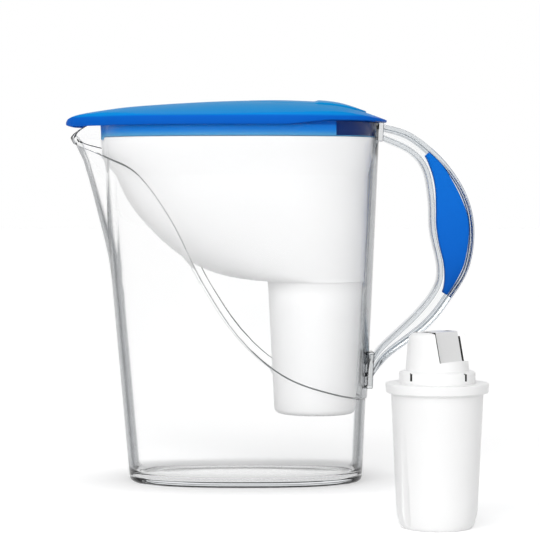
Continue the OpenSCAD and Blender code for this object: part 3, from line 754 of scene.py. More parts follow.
upper_inset = [mix(JUG_WALL - LEDGE_W, JUG_WALL, clamp((1 - abs(across(i))) / 0.8))
               if across(i) is not None else JUG_WALL - LEDGE_W for i in COLUMNS]
foot = jug_rim(0, 12)
rims = [centred(foot, share, UNDER_RECESS) for share in (0.04, 0.5, 0.9)]
rims += [jug_rim(UNDER_RECESS * 0.8, 10.5), jug_rim(0.1, 8), jug_rim(0, 7), jug_rim(0, 5),
         jug_rim(FOOT_LIFT, FOOT_IN)]
for sine, cosine in sine_and_cosine(35, 60, 90):
    rims.append(jug_rim(FOOT_LIFT + FOOT_ROUND * (1 - cosine), FOOT_IN * (1 - sine)))
lower_edge = level(FOOT_LIFT + FOOT_ROUND)
for share in spread(0, 1, 22)[1:-1]:
    rims.append(jug_rim(between(lower_edge, sweep, share), 0))
for rise, inset in ((-0.6, 0), (-0.35, -0.06), (0, -0.5), (0.35, -0.94), (0.6, -PANEL_RISE)):
    rims.append(jug_rim([z + rise for z in sweep], inset))
rim_half = [(inset + PANEL_RISE) / 2 for inset in upper_inset]
panel_low = [z + 1 for z in sweep]
panel_high = [z - r for z, r in zip(rim_top, rim_half)]
for share in spread(0, 1, 20):
    rims.append(jug_rim(between(panel_low, panel_high, share), -PANEL_RISE))
for sine, cosine in sine_and_cosine(30, 60, 90, 120, 150, 180):
    rims.append(jug_rim([z + r * sine for z, r in zip(panel_high, rim_half)],
                        [r * (1 - cosine) - PANEL_RISE for r in rim_half]))
# The ledge that carries the funnel is a gentle slope, which doesn't show as a line
ledge_top, ledge = level(LEDGE_Z), level(LEDGE_Z - LEDGE_SLOPE)
rims += [jug_rim(between(panel_high, ledge_top, share), upper_inset) for share in (0.5, 0.9)]
for share in spread(0, 1, 5):
    rims.append(jug_rim(between(ledge_top, ledge, share),
                        [mix(inset, JUG_WALL, share) for inset in upper_inset]))
floor_edge = level(FOOT_T + FLOOR_ROUND)
for share in spread(0, 1, 26)[1:-1]:
    rims.append(jug_rim(between(ledge, floor_edge, share), JUG_WALL))
for sine, cosine in sine_and_cosine(0, 15, 30, 45, 60, 75, 90):
    rims.append(jug_rim(FOOT_T + FLOOR_ROUND * (1 - sine), JUG_WALL + FLOOR_ROUND * (1 - cosine)))
inner_floor = rims[-1]
rims += [centred(inner_floor, share, FOOT_T) for share in (0.93, 0.5, 0.04)]

jug = pull_rims("jug_clear_shell", rims)
print("jug of", len(rims), "rims")

# %% [markdown]
# ## Bracket and socket on the jug's rear wall
# The handle is a separate moulding. Its upper end bears on a flat bracket and its
# lower end sits in a socket, both moulded on the rear wall. They are blocks with
# softened edges, leaned like the wall and melted on with a Boolean, because the
# real ones are one piece with the wall.

# %% Bracket and socket
HANDLE_W = 22
BRACKET_OUT = 2.5
BRACKET_H = 12.5
SOCKET_OUT = 3
SOCKET_WALL = 2
SOCKET_H = 25
SOCKET_LOW = 64
LIFT_GAP = 0.3
SINK = 1.2
SOCKET_HALF = HANDLE_W / 2 + SOCKET_WALL + LIFT_GAP


def lean_on_rear_wall(tool):
    """Stand a block that was made against x = 0 on the leaning rear wall."""
    return settle(tool, (REAR_FOOT + PANEL_RISE, 0, 0), (0, REAR_LEAN, 0))


for low, high, soften, how in (
        ((-SINK, -HANDLE_W / 2, JUG_H - BRACKET_H),
         (BRACKET_OUT, HANDLE_W / 2, JUG_H), 0.6, "UNION"),
        ((-SINK, -SOCKET_HALF, SOCKET_LOW),
         (SOCKET_OUT, SOCKET_HALF, SOCKET_LOW + SOCKET_H), 0.8, "UNION"),
        ((LIFT_GAP, SOCKET_WALL - SOCKET_HALF, SOCKET_LOW + SOCKET_WALL),
         (20, SOCKET_HALF - SOCKET_WALL, SOCKET_LOW + SOCKET_H - SOCKET_WALL), 0, "DIFFERENCE")):
    carve(jug, lean_on_rear_wall(block(low, high, soften)), how)
dress(jug, JUG_CLEAR, "clear_plastic", "jug", "jug_shell", sharp=40)


def gets_painted_step_shade(x, y, z):
    """True on the outer face of the step, and on the handle's socket and bracket, where the grey
    shade is painted.
    """
    on_edge = (abs(z - sweep_at(x, z)) < 0.62 and x > front_x(z) - 1
               and not inside(jug_plan(z, 0), x, y, 1.2))
    behind_wall = x > rear_x(z) + PANEL_RISE + 0.4
    at_socket, at_bracket = z < SOCKET_LOW + SOCKET_H + 1, z > JUG_H - BRACKET_H - 1
    return on_edge or behind_wall and (at_socket or at_bracket)


# The step's outer face, the socket and the bracket get a painted grey shade
paint_shade_on_faces(jug, STEP_PAINTED_SHADE, gets_painted_step_shade)

# %% [markdown]
# ## The bow handle
# The handle is a D-shaped bow of an H section: two flanges along its edges and a
# thin web between them. The section is pulled station by station between the
# outer and the inner edge. The pockets beside the web hold the grips.

# %% Handle stations
OUTER_BOW = [(12.5, 0.996), (32.8, 0.97), (54.5, 0.898), (69.9, 0.805), (75.8, 0.707),
             (72.6, 0.6), (61.1, 0.515), (44.7, 0.431), (18.4, 0.35), (6.6, 0.292)]
INNER_BOW = [(12.1, 0.953), (31.7, 0.916), (41.5, 0.867), (45.3, 0.787), (46.4, 0.698),
             (51.3, 0.6), (49.1, 0.542), (36, 0.471), (12, 0.377), (6.6, 0.34)]
BOW_STEPS = 20
WEB_T = 4
FLANGE_T = 3.0


def bow(points):
    return smooth_curve([(REAR_FOOT + back, JUG_H * share) for back, share in points], BOW_STEPS)


outer_edge, inner_edge = bow(OUTER_BOW), bow(INNER_BOW)
STATIONS = range(len(outer_edge))


def arc(middle, radius, first, last, steps=3):
    """Corners of an arc in the section's plane, angles in degrees."""
    return [(middle[0] + radius * math.cos(math.radians(a)),
             middle[1] + radius * math.sin(math.radians(a))) for a in spread(first, last, steps)]


def h_section(width):
    """Half of the section as (distance from the outer edge, side), from front to back."""
    half, lip, round_in, web = HANDLE_W / 2, 0.8, 0.6, WEB_T / 2
    side = arc((lip, half - lip), lip, 180, 90, 5)
    side += arc((FLANGE_T - round_in, half - round_in), round_in, 90, 0, 4)
    side += arc((FLANGE_T + round_in, web + round_in), round_in, 180, 270)
    side += arc((width - FLANGE_T - round_in, web + round_in), round_in, 270, 360)
    side += arc((width - FLANGE_T + round_in, half - round_in), round_in, 180, 90, 4)
    side += arc((width - lip, half - lip), lip, 90, 0, 5)
    return side


def handle_rim(k):
    (ox, oz), (ix, iz) = outer_edge[k], inner_edge[k]
    width = math.hypot(ix - ox, iz - oz)
    half = h_section(width)
    whole = half + [(s, -y) for s, y in reversed(half)]
    return [(mix(ox, ix, s / width), y, mix(oz, iz, s / width)) for s, y in whole]


handle = pull_rims("handle_clear_bow", [handle_rim(k) for k in STATIONS])
print("handle of", len(STATIONS), "stations")

# %% Fit the handle's ends
socket_top = SOCKET_LOW + SOCKET_H - SOCKET_WALL - LIFT_GAP
for low, high in (
        ((-SOCKET_OUT, -HANDLE_W, JUG_H - 2 * BRACKET_H), (BRACKET_OUT, HANDLE_W, JUG_H + 40)),
        ((-SOCKET_OUT, -HANDLE_W, 0), (2 * LIFT_GAP, HANDLE_W, SOCKET_LOW + SOCKET_H)),
        ((-SOCKET_OUT, -HANDLE_W, 0), (20, HANDLE_W, SOCKET_LOW + SOCKET_WALL + LIFT_GAP)),
        ((-SOCKET_OUT, -HANDLE_W, socket_top), (SOCKET_OUT + LIFT_GAP, HANDLE_W, socket_top + 25))):
    carve(handle, lean_on_rear_wall(block(low, high)))
dress(handle, HANDLE_CLEAR, "clear_plastic", "jug", "handle_frame", sharp=40)

# %% [markdown]
# ## The grip inlays
# A crescent of blue rubber fills the pocket on each side of the web. Seen from the
# side it is blunt at both ends, and its face is a little domed, so the light
# falls off toward its rim. It is pulled station by station like the handle, and
# the second one is a mirrored copy with a mesh of its own.

# %% Grips
GRIP_OUTER_BOW = [(45.1, 0.9167), (54.5, 0.8792), (64.2, 0.8139), (70.6, 0.7514), (72.3, 0.7069),
                  (71.4, 0.6535), (68.4, 0.5996), (62.5, 0.5514), (57.4, 0.5208)]
GRIP_INNER_BOW = [(42.8, 0.9086), (47.5, 0.8584), (49.7, 0.8139), (50.2, 0.7592), (50.4, 0.7143),
                  (52.3, 0.6633), (55.4, 0.6102), (56.1, 0.5641), (54.9, 0.5273)]
GRIP_OUT = 11.2
GRIP_EDGE = 1.2
GRIP_CROWN = 0.6
END_STATIONS = 6
grip_outside, grip_inside = bow(GRIP_OUTER_BOW), bow(GRIP_INNER_BOW)


def grip_rim(k, side):
    (ox, oz), (ix, iz) = grip_outside[k], grip_inside[k]
    width = math.hypot(ix - ox, iz - oz)
    # The ends are rounded off: the face sinks over the last stations
    end = clamp(min(k, len(grip_outside) - 1 - k) / END_STATIONS)
    sink = GRIP_EDGE * (1 - math.sqrt(1 - (1 - end) ** 2))
    low, high, r = WEB_T / 2, GRIP_OUT - GRIP_CROWN - sink, GRIP_EDGE
    section = [(0, low)] + arc((r, high - r), r, 180, 90, 5)
    for share in (0.25, 0.5, 0.75):
        crown = GRIP_CROWN * (1 - (2 * share - 1) ** 2)
        section.append((mix(r, width - r, share), high + crown))
    section += arc((width - r, high - r), r, 90, 0, 5) + [(width, low)]
    return [(mix(ox, ix, s / width), side * y, mix(oz, iz, s / width)) for s, y in section]


for side, name in ((1, "left"), (-1, "right")):
    grip = pull_rims("grip_rubber_" + name, [grip_rim(k, side) for k in range(len(grip_outside))])
    dress(grip, GRIP_BLUE, "blue_plastic", "jug", "grip_inlay_" + name, sharp=50)

# %% [markdown]
# ## The funnel
# The funnel is a boat-shaped bowl that hangs on the jug's ledge by a rim flange,
# with a round tapered well at the back for the cartridge. It is one moulding, so
# one skin runs from the middle of the well's bottom up the outside, over the
# flange, down the inside and back into the well. Drain holes are bored last.

# %% Funnel outline
FUNNEL_WALL = 1.8
FUNNEL_FLOOR = 137
WELL_X = 47.3
WELL_BOTTOM = FUNNEL_FLOOR - 90.6
WELL_ROUND = 4
WELL_FOOT = WELL_BOTTOM + WELL_ROUND
WELL_BOTTOM_R = 26.2
WELL_RIM_R = 30.8
WELL_OUT_R = WELL_RIM_R + FUNNEL_WALL
BOWL_FOOT_R = WELL_OUT_R + 1.2
BORE_R = 27.4
BORE_L = 8
SEAT_Z = FUNNEL_FLOOR - 6
FLANGE_Z = LEDGE_Z + LIFT_GAP
FLANGE_TOP = FLANGE_Z + 1.7
COLLAR_TOP = FUNNEL_FLOOR + FUNNEL_WALL + 0.5
TONGUE_DROP = 2
DRAIN_R = 3.5
DRAIN_COUNT = 8
DRAIN_CIRCLE = 17
WEDGE_FROM = 0.75
TONGUE_HALF = SPOUT_HALF * 0.84
BOWL_FRONT = front_x(LEDGE_Z) + JUG_WALL + 0.5
BOWL_REAR = rear_x(LEDGE_Z) - 5.8
HULL = smooth_curve([(0, 0), (0.012, 0.13), (0.05, 0.29), (0.13, 0.455), (0.27, 0.62),
                     (0.47, 0.785), (0.63, 0.875), (0.8, 0.935), (0.9, 0.955), (1, 0.985)], 8)
HULL_LEVELS = [(k / 24) ** 1.6 for k in range(24)]


def bowl_height(f):
    return mix(FUNNEL_FLOOR, FLANGE_Z, f)


def bowl_rim(f, inset, lift):
    z = bowl_height(f)
    half = mix(BOWL_FOOT_R, side_y(z) - JUG_WALL - 2, 1 - (1 - f) ** 3) - inset
    plan = Plan(mix(WELL_X - BOWL_FOOT_R, BOWL_FRONT, look_up(f, HULL)) + inset,
                mix(WELL_X + BOWL_FOOT_R, BOWL_REAR, f) - inset, half,
                mix(2, BODY_POWER, clamp(3 * f)), half / 2, 0,
                mix(WELL_X, (BOWL_FRONT + BOWL_REAR) / 2, f ** 0.75))
    return rim(plan, z + lift)


def dipped(places):
    """Lower the spout's columns, to make room for the lid's tongue."""
    return [(x, y, z - (TONGUE_DROP if across(i) is not None else 0))
            for i, (x, y, z) in enumerate(places)]


def well_outer(z):
    share = (z - WELL_FOOT) / (COLLAR_TOP - WELL_FOOT)
    return mix(WELL_BOTTOM_R + FUNNEL_WALL, WELL_OUT_R, share)


def flange_plan(inset):
    edge = JUG_WALL - LEDGE_W + 0.5 + inset
    return Plan(front_x(LEDGE_Z) + edge, rear_x(LEDGE_Z) - edge, side_y(LEDGE_Z) - edge,
                BODY_POWER, TONGUE_HALF, 0)


# %% Funnel rims
def ring(radius, z):
    return rim(circle(WELL_X, radius), z)


rims = [ring(r, WELL_BOTTOM) for r in (1, 8, 16, 22)]
for sine, cosine in sine_and_cosine(0, 30, 60, 90):
    rims.append(ring(WELL_BOTTOM_R + FUNNEL_WALL - WELL_ROUND * (1 - sine),
                     WELL_BOTTOM + WELL_ROUND * (1 - cosine)))
for z in spread(WELL_FOOT, FUNNEL_FLOOR - 1.5, 14)[1:]:
    rims.append(ring(well_outer(z), z))
rims.append(ring(mix(well_outer(FUNNEL_FLOOR), BOWL_FOOT_R, 0.35), FUNNEL_FLOOR - 0.4))
# A wedge under the flange fills the step to the jug, so that no shadow shows there
rims += [bowl_rim(f, 0, 0) for f in HULL_LEVELS if f < WEDGE_FROM] + [bowl_rim(WEDGE_FROM, 0, 0)]
rims += [dipped(rim(flange_plan(inset), z)) for inset, z in (
    (LEDGE_W * 0.9, FLANGE_Z - 0.75 * LEDGE_SLOPE), (0.1, FLANGE_Z), (0, FLANGE_TOP - 0.4),
    (0.4, FLANGE_TOP))]
rims += [dipped(bowl_rim(1, FUNNEL_WALL - 0.5, 1.7)), dipped(bowl_rim(1, FUNNEL_WALL, 1.3))]
rims += [bowl_rim(f, FUNNEL_WALL * clamp(0.5 + 3 * f), FUNNEL_WALL * clamp(1.2 - f))
         for f in reversed(HULL_LEVELS)]
rims += [ring(mix(WELL_RIM_R, WELL_OUT_R, share), z) for share, z in (
    (0.9, FUNNEL_FLOOR + FUNNEL_WALL), (0.75, COLLAR_TOP), (0.2, COLLAR_TOP))]
rims += [ring(r, z) for r, z in (
    (WELL_RIM_R, COLLAR_TOP - 0.4), (WELL_RIM_R, SEAT_Z), (BORE_R + 0.4, SEAT_Z),
    (BORE_R, SEAT_Z - 0.4), (BORE_R, SEAT_Z - BORE_L))]
for z in spread(SEAT_Z - BORE_L - 4, WELL_FOOT, 12):
    rims.append(ring(well_outer(z) - FUNNEL_WALL, z))
rims.append(ring(WELL_BOTTOM_R - 0.6, WELL_BOTTOM + FUNNEL_WALL + 0.6))
rims += [ring(r, WELL_BOTTOM + FUNNEL_WALL) for r in (WELL_BOTTOM_R - 2, 22, 16, 8, 1)]
funnel = pull_rims("funnel_white_moulding", rims)

for k in range(DRAIN_COUNT):
    turn = math.radians(360 / DRAIN_COUNT * k)
    carve(funnel, rod((WELL_X + DRAIN_CIRCLE * math.cos(turn), DRAIN_CIRCLE * math.sin(turn),
                       WELL_BOTTOM + 1), DRAIN_R, 8, corners=24))
dress(funnel, FUNNEL_WHITE, "white_plastic", "funnel", "funnel")

# %% [markdown]
# ## The lid
# The lid is a shallow dome with a beak over the spout and a pointed rear tip. A
# skirt hangs from it into the jug's rim, with a recess near the back on each side
# whose faces are painted a dark navy shade. A recess with a hinge at its front
# takes the fill flap. The skin runs from the skirt's outside over the dome, down
# through the fill opening, and back along the underside to the skirt's inside.

# %% Lid outline
DOME_RISE = 15.1
DOME_FALL = 11
LID_WALL = 2
LID_OVER = 1.7
BEAK_OUT = 3.3
TAIL_OUT = 5.8
DOME = smooth_curve([(0, 0), (0.012, 0.2), (0.048, 0.37), (0.121, 0.55), (0.221, 0.728),
                     (0.42, 0.914), (0.6, 1), (0.72, 0.985), (0.843, 0.85), (0.941, 0.41),
                     (1, 0.093)], 10)
DOME_POWER = 2.4
edge_plan = jug_plan(JUG_H, -PANEL_RISE - LID_OVER)
LID_FRONT = front_x(JUG_H) + PANEL_RISE - SPOUT_REACH - BEAK_OUT
LID_REAR = rear_x(JUG_H) + TAIL_OUT
lid_plan = Plan(edge_plan.front, LID_REAR, edge_plan.half, BODY_POWER, SPOUT_HALF * 1.25,
                edge_plan.front - LID_FRONT)
SKIRT_Z = FLANGE_TOP + LIFT_GAP
LID_SEAT = JUG_H + LIFT_GAP
HEM_H = 3.2
HEM_T = 1.2
HEM_END = 60
HEM_RAMP = 36
skirt_plan = flange_plan(0)
skirt_in = grown(skirt_plan, -LID_WALL)


def lid_top(x, y):
    length = look_up((x - LID_FRONT) / (LID_REAR - LID_FRONT), DOME)
    return JUG_H + DOME_RISE * length - DOME_FALL * min(1, abs(y) / edge_plan.half) ** DOME_POWER


HINGE_X = -2
PIN_R = 1.2
PIN_BORE = PIN_R + 0.05
BARREL_R = 2 * PIN_R
BARREL_HALF = 10
FLAP_GAP = 0.4
FLAP_T = 2
FLAP_L = 84
FLAP_HALF = 30
flap_plan = Plan(HINGE_X + BARREL_R + 2 * FLAP_GAP, HINGE_X + FLAP_L, FLAP_HALF, 3, 12, 0)
FLAP_MID = (flap_plan.front + flap_plan.rear) / 2
recess_plan = Plan(flap_plan.front - FLAP_GAP, HINGE_X + FLAP_L + FLAP_GAP, FLAP_HALF + FLAP_GAP,
                   3, 12, 0, FLAP_MID)
opening_plan = Plan(HINGE_X + 12, HINGE_X + FLAP_L - 6, FLAP_HALF - 6, 3, 12, 0, FLAP_MID)
RECESS = FLAP_T + 2 * FLAP_GAP
HINGE_Z = lid_top(HINGE_X, 0) - BARREL_R - FLAP_GAP / 2
EAR_IN = BARREL_HALF + FLAP_GAP
EAR_W = 3


def dome_rim(outer, inner, share, down, least=None):
    """A rim on the dome, part of the way from one plan to another."""
    places = []
    for i in COLUMNS:
        (x0, y0), (x1, y1) = corner(i, outer), corner(i, inner)
        x, y = mix(x0, x1, share), mix(y0, y1, share)
        z = lid_top(x, y) - down
        places.append((x, y, z if least is None else max(z, least)))
    return places


def hem(x, y):
    """The lower corner of the lid's edge, which rises to the beak's tip and the bracket."""
    low = clamp((HEM_END - x) / HEM_RAMP)
    tip = mix(0.5, 1, clamp((x - LID_FRONT) / 5) ** 0.5)
    return LID_SEAT - HEM_H * low * low * (3 - 2 * low) * tip


def edge_rim(share, inset=0):
    """A rim up the lid's upright edge, from its lower to its upper corner."""
    return [(x, y, mix(hem(x, y), lid_top(x, y), share))
            for x, y, _ in rim(grown(lid_plan, -inset), 0)]


# %% Lid rims
rims = [dipped(rim(grown(skirt_plan, -0.4), SKIRT_Z)), dipped(rim(skirt_plan, SKIRT_Z + 0.4))]
rims += [[(x, y, mix(z, LID_SEAT, share)) for x, y, z in dipped(rim(skirt_plan, SKIRT_Z + 0.4))]
         for share in (0.33, 0.66, 1)]
for share, down in ((0.06, 2.2), (0.15, LID_WALL), (0.35, LID_WALL), (0.55, 2.6), (0.62, 3.6)):
    rims.append(dome_rim(skirt_plan, lid_plan, share, down, LID_SEAT))
rims += [rim(grown(lid_plan, -HEM_T - 0.2), LID_SEAT), rim(grown(lid_plan, -HEM_T), hem),
         edge_rim(0, 0.4), edge_rim(0.06), edge_rim(0.12),
         edge_rim(0.5), edge_rim(0.84), edge_rim(0.95, 0.12)]
for share, down in ((0.012, 0.12), (0.03, 0.02)):
    rims.append(dome_rim(lid_plan, recess_plan, share, down))
for share in spread(0.07, 0.985, 22):
    rims.append(dome_rim(lid_plan, recess_plan, share, 0))
rims += [dome_rim(lid_plan, recess_plan, 1, 0.3), dome_rim(recess_plan, recess_plan, 0, RECESS)]
for share in (0.5, 1):
    rims.append(dome_rim(recess_plan, opening_plan, share, RECESS))
rims.append(dome_rim(opening_plan, opening_plan, 0, RECESS + LID_WALL))
recess_out = grown(recess_plan, LID_WALL)
rims += [dome_rim(recess_out, skirt_in, 0, RECESS + LID_WALL),
         dome_rim(recess_out, skirt_in, 0, LID_WALL)]
for share in spread(0.08, 0.94, 10):
    rims.append(dome_rim(recess_out, skirt_in, share, LID_WALL))
rims.append(dome_rim(recess_out, skirt_in, 1, LID_WALL + 0.8))
inner_low = dipped(rim(skirt_in, SKIRT_Z))
rims += [[(x, y, mix(z0, z, share)) for (x, y, z), (_, _, z0) in zip(inner_low, rims[-1])]
         for share in (0.4, 0.7, 1)]
lid = pull_rims("lid_blue_dome", rims, closed=True)
print("lid of", len(rims), "rims")

# %% Hinge ears and skirt recesses
WINDOW_L = 27
WINDOW_DEPTH = 1.3
WINDOW_SIDE = 14
window_rear = rear_x(LEDGE_Z) - 2.5

for side in (-1, 1):
    middle = side * (EAR_IN + EAR_W / 2)
    carve(lid, rod((HINGE_X, middle, HINGE_Z), BARREL_R, EAR_W, "Y"), "UNION")
    carve(lid, block((HINGE_X - 5.5, middle - EAR_W / 2, HINGE_Z - BARREL_R),
                     (HINGE_X, middle + EAR_W / 2, HINGE_Z + PIN_R / 2)), "UNION")
carve(lid, rod((HINGE_X, 0, HINGE_Z), PIN_BORE, 2 * (EAR_IN + EAR_W + 1), "Y", 24))
carve(lid, rod((HINGE_X, 0, HINGE_Z), BARREL_R + FLAP_GAP, 2 * EAR_IN, "Y"))
pocket_half = EAR_IN + EAR_W + FLAP_GAP
carve(lid, block((HINGE_X - BARREL_R - 2 * FLAP_GAP, -pocket_half, HINGE_Z),
                 (flap_plan.front, pocket_half, HINGE_Z + 10)))
sill, head = SKIRT_Z + 0.5, LID_SEAT - 0.6
for side in (-1, 1):
    ring_out, ring_in = grown(skirt_plan, 0.5), grown(skirt_plan, -WINDOW_DEPTH)
    window = pull_rims("window", [rim(ring_out, sill), rim(ring_out, head), rim(ring_in, head),
                                  rim(ring_in, sill)], closed=True)
    near, far = sorted((side * WINDOW_SIDE, side * 80))
    carve(window, block((window_rear - WINDOW_L, near, 0), (window_rear, far, 300)), "INTERSECT")
    carve(lid, window)
dress(lid, LID_BLUE, "blue_plastic", "lid", "lid_shell", sharp=30)
# The skirt's recesses are painted a dark navy shade
paint_shade_on_faces(lid, NAVY_PAINTED_SHADE, lambda x, y, z: window_rear - WINDOW_L <= x <= window_rear + 0.1
             and abs(y) > WINDOW_SIDE - 0.1 and sill - 0.1 <= z <= head + 0.1
             and inside(skirt_plan, x, y, 0.3))

# %% [markdown]
# ## The fill flap
# The flap follows the dome, so it needs the same top as the lid. Its rear third is
# a thumb pad, a millimetre higher. A barrel at its front turns on a steel pin
# between the lid's two ears.

# %% Flap
PAD_AT = 48
PAD_RAMP = 4


def flap_rim(share, top, down):
    half = (flap_plan.rear - flap_plan.front) / 2
    plan = flap_plan._replace(front=FLAP_MID - half * share, rear=FLAP_MID + half * share,
                              half=FLAP_HALF * share, lip_half=12 * share)
    places = []
    for x, y, _ in rim(plan, 0):
        ramp = clamp((x - HINGE_X - PAD_AT) / PAD_RAMP)
        pad = ramp * ramp * (3 - 2 * ramp) if top else 0
        places.append((x, y, lid_top(x, y) + pad - down))
    return places


shares = spread(0.03, 0.985, 24)
rims = [flap_rim(share, False, FLAP_T) for share in shares] + [flap_rim(1, False, FLAP_T - 0.4)]
rims += [flap_rim(1, True, 0.45), flap_rim(0.996, True, 0.12)]
rims += [flap_rim(share, True, 0) for share in reversed(shares)]
flap = pull_rims("flap_blue_fill", rims)
carve(flap, rod((HINGE_X, 0, HINGE_Z), BARREL_R, 2 * BARREL_HALF, "Y"), "UNION")
carve(flap, block((HINGE_X, -BARREL_HALF, HINGE_Z + BARREL_R - FLAP_T),
                  (HINGE_X + 12, BARREL_HALF, HINGE_Z + BARREL_R)), "UNION")
carve(flap, rod((HINGE_X, 0, HINGE_Z), PIN_BORE, 2 * BARREL_HALF + 4, "Y", 24))
dress(flap, LID_BLUE, "blue_plastic", "flap", "fill_flap", sharp=30)

# %% [markdown]
# ## Turned pieces: the cartridge
# The cartridge is round, so its profile is drawn as a chain of corners and spun
# about its axis. The cup is tapered, with a flange that rests in the funnel and a
# flute up its side. The cap has a neck with slots that let the water in, and two
# finger recesses to lift it by. Recesses and slots are cut with Booleans.

# %% A helper that spins a profile
CARTRIDGE = (114.3, -206)


def turned(name, profile, steps=128):
    """Spin a profile, given as (radius, height), about the cartridge's axis."""
    x, y = CARTRIDGE
    deselect()
    bpy.ops.mesh.primitive_plane_add(size=0.01)
    piece = bpy.context.object
    piece.name = name
    bpy.ops.object.mode_set(mode="EDIT")
    bpy.ops.mesh.select_all(action="SELECT")
    bpy.ops.mesh.merge(type="CENTER")
    mesh = bmesh.from_edit_mesh(piece.data)
    r, z = profile[0]
    next(iter(mesh.verts)).co = ((x + r) * MM, y * MM, z * MM)
    for (r0, z0), (r1, z1) in zip(profile, profile[1:]):
        step = ((r1 - r0) * MM, 0, (z1 - z0) * MM)
        bpy.ops.mesh.extrude_vertices_move(TRANSFORM_OT_translate={"value": step})
    bpy.ops.mesh.select_all(action="SELECT")
    bpy.ops.mesh.spin(steps=steps, angle=2 * math.pi, center=(x * MM, y * MM, 0), axis=(0, 0, 1))
    bpy.ops.mesh.select_all(action="SELECT")
    bpy.ops.mesh.remove_doubles(threshold=1e-6)
    bpy.ops.mesh.normals_make_consistent(inside=False)
    bpy.ops.object.mode_set(mode="OBJECT")
    return piece


def at_cartridge(tool, angle, lean=0, out=0, up=0):
    """Lean a tool outward, move it out from the axis and turn it into place."""
    turn = math.radians(angle)
    place = (CARTRIDGE[0] + out * math.cos(turn), CARTRIDGE[1] + out * math.sin(turn), up)
    return settle(tool, place, (0, math.radians(lean), turn))


# %% Cup
CUP_H = 79.4
CUP_TOP = CUP_H + 5.6
CUP_WALL = 1.4
NECK_R = 22.35
cup_profile = [(0, 0.6), (17.6, 0.6), (18.6, 0)]
cup_profile += [(20.2, 0.2), (21.4, 1.3), (22.3, 3.2), (23, 5.8), (23.5, 8), (23.8, 10.5)]
cup_profile += [(mix(23.8, 26.97, f), mix(10.5, CUP_H - 1.2, f)) for f in spread(0, 1, 12)[1:]]
cup_profile += [(27.4, CUP_H - 0.9), (27.4, CUP_H - 0.3), (28.2, CUP_H), (29.6, CUP_H),
                (29.9, CUP_H + 0.3), (30.35, CUP_TOP - 0.5), (30.1, CUP_TOP - 0.1),
                (29.7, CUP_TOP), (NECK_R - CUP_WALL, CUP_TOP), (NECK_R - CUP_WALL, CUP_H),
                (27 - CUP_WALL, CUP_H), (22.6 - CUP_WALL, 9), (19 - CUP_WALL, CUP_WALL),
                (0, CUP_WALL)]
cup = turned("cartridge_white_cup", cup_profile)
FLUTE_R = 6
FLUTE_OUT = 27.75
FLUTE_TURN = 217
FLUTE_LEAN = 4.1
carve(cup, at_cartridge(rod((0, 0, 34), FLUTE_R, 80, corners=96),
                        FLUTE_TURN, FLUTE_LEAN, FLUTE_OUT))
for k in range(6):
    carve(cup, at_cartridge(block((6, -0.6, -1), (15, 0.6, CUP_WALL + 1)), 60 * k))
dress(cup, CARTRIDGE_WHITE, "white_plastic", "cartridge", "cartridge_cup", sharp=30)

# %% Cap
NECK_TOP = CUP_TOP + 7
CAP_R = 18.5
CAP_TOP = NECK_TOP + 23
cap_profile = [(0, CUP_TOP), (NECK_R, CUP_TOP), (NECK_R, NECK_TOP - 1.6)]
cap_profile += [(NECK_R - 1.6 + r, NECK_TOP - 1.6 + z) for r, z in arc((0, 0), 1.6, 22, 90, 4)]
cap_profile += [(CAP_R + 0.9, NECK_TOP), (CAP_R + 0.2, NECK_TOP + 0.5), (CAP_R, NECK_TOP + 1.4)]
cap_profile += [(CAP_R - 1.3 * f, mix(NECK_TOP + 1.4, CAP_TOP - 5, f)) for f in spread(0, 1, 6)[1:]]
cap_profile += [(CAP_R - 1.3 - 5.4 + r, CAP_TOP - 5 + 0.92 * z)
                for r, z in arc((0, 0), 5.4, 12, 84, 7)]
cap_profile += [(7, CAP_TOP - 0.02), (0, CAP_TOP)]
cap = turned("cartridge_white_cap", cap_profile)
SCOOP_TURNS = (-47, 133)
SCOOP_HALF = 9.6
SCOOP_OUT = 11.2
SCOOP_LEAN = 13
SCOOP_FLARE = 6.5
SCOOP_SILL = NECK_TOP + 5
SLOT_TURNS = (43, 133, 223, 313)
for angle in SCOOP_TURNS:
    for tool in (flared((0, -SCOOP_HALF, 0), (40, SCOOP_HALF, 40), SCOOP_FLARE),
                 block((-9, SCOOP_HALF - 0.2, 0.2), (0.6, SCOOP_HALF + 0.8, 15.5)),
                 block((-9, -SCOOP_HALF - 2.4, 0.2), (2.8, 0.2 - SCOOP_HALF, 18.5))):
        carve(cap, at_cartridge(tool, angle, -SCOOP_LEAN, SCOOP_OUT, SCOOP_SILL))
for angle in SLOT_TURNS:
    carve(cap, at_cartridge(block((NECK_R - 6, -0.8, CUP_TOP + 2),
                                  (NECK_R + 2, 0.8, NECK_TOP - 0.8)), angle))
dress(cap, CARTRIDGE_WHITE, "white_plastic", "cartridge", "cartridge_cap", sharp=30)


def beside(x, y, angle):
    """Distances out from the cartridge's axis and sideways, along one angle."""
    x, y, turn = x - CARTRIDGE[0], y - CARTRIDGE[1], math.radians(angle)
    return x * math.cos(turn) + y * math.sin(turn), abs(x * math.sin(turn) - y * math.cos(turn))


def behind_scoop(out, z):
    """How far a place lies behind the leaning back of a finger recess."""
    return SCOOP_OUT - math.tan(math.radians(SCOOP_LEAN)) * (z - SCOOP_SILL) - out


def in_a_slot(x, y, z):
    """True inside the neck's slots and the gaps beside the finger recesses, which are painted a
    dark shade.
    """
    for angle in SLOT_TURNS:
        out, side = beside(x, y, angle)
        if CUP_TOP + 1.9 < z < NECK_TOP - 0.7 and 0 < out < NECK_R - 0.1 and side < 0.9:
            return True
    for angle in SCOOP_TURNS:
        out, side = beside(x, y, angle)
        behind = behind_scoop(out, z)
        if z > SCOOP_SILL and -0.2 < behind < 9.1 and SCOOP_HALF - 0.3 < side < SCOOP_HALF + 2.5:
            return True
    return False


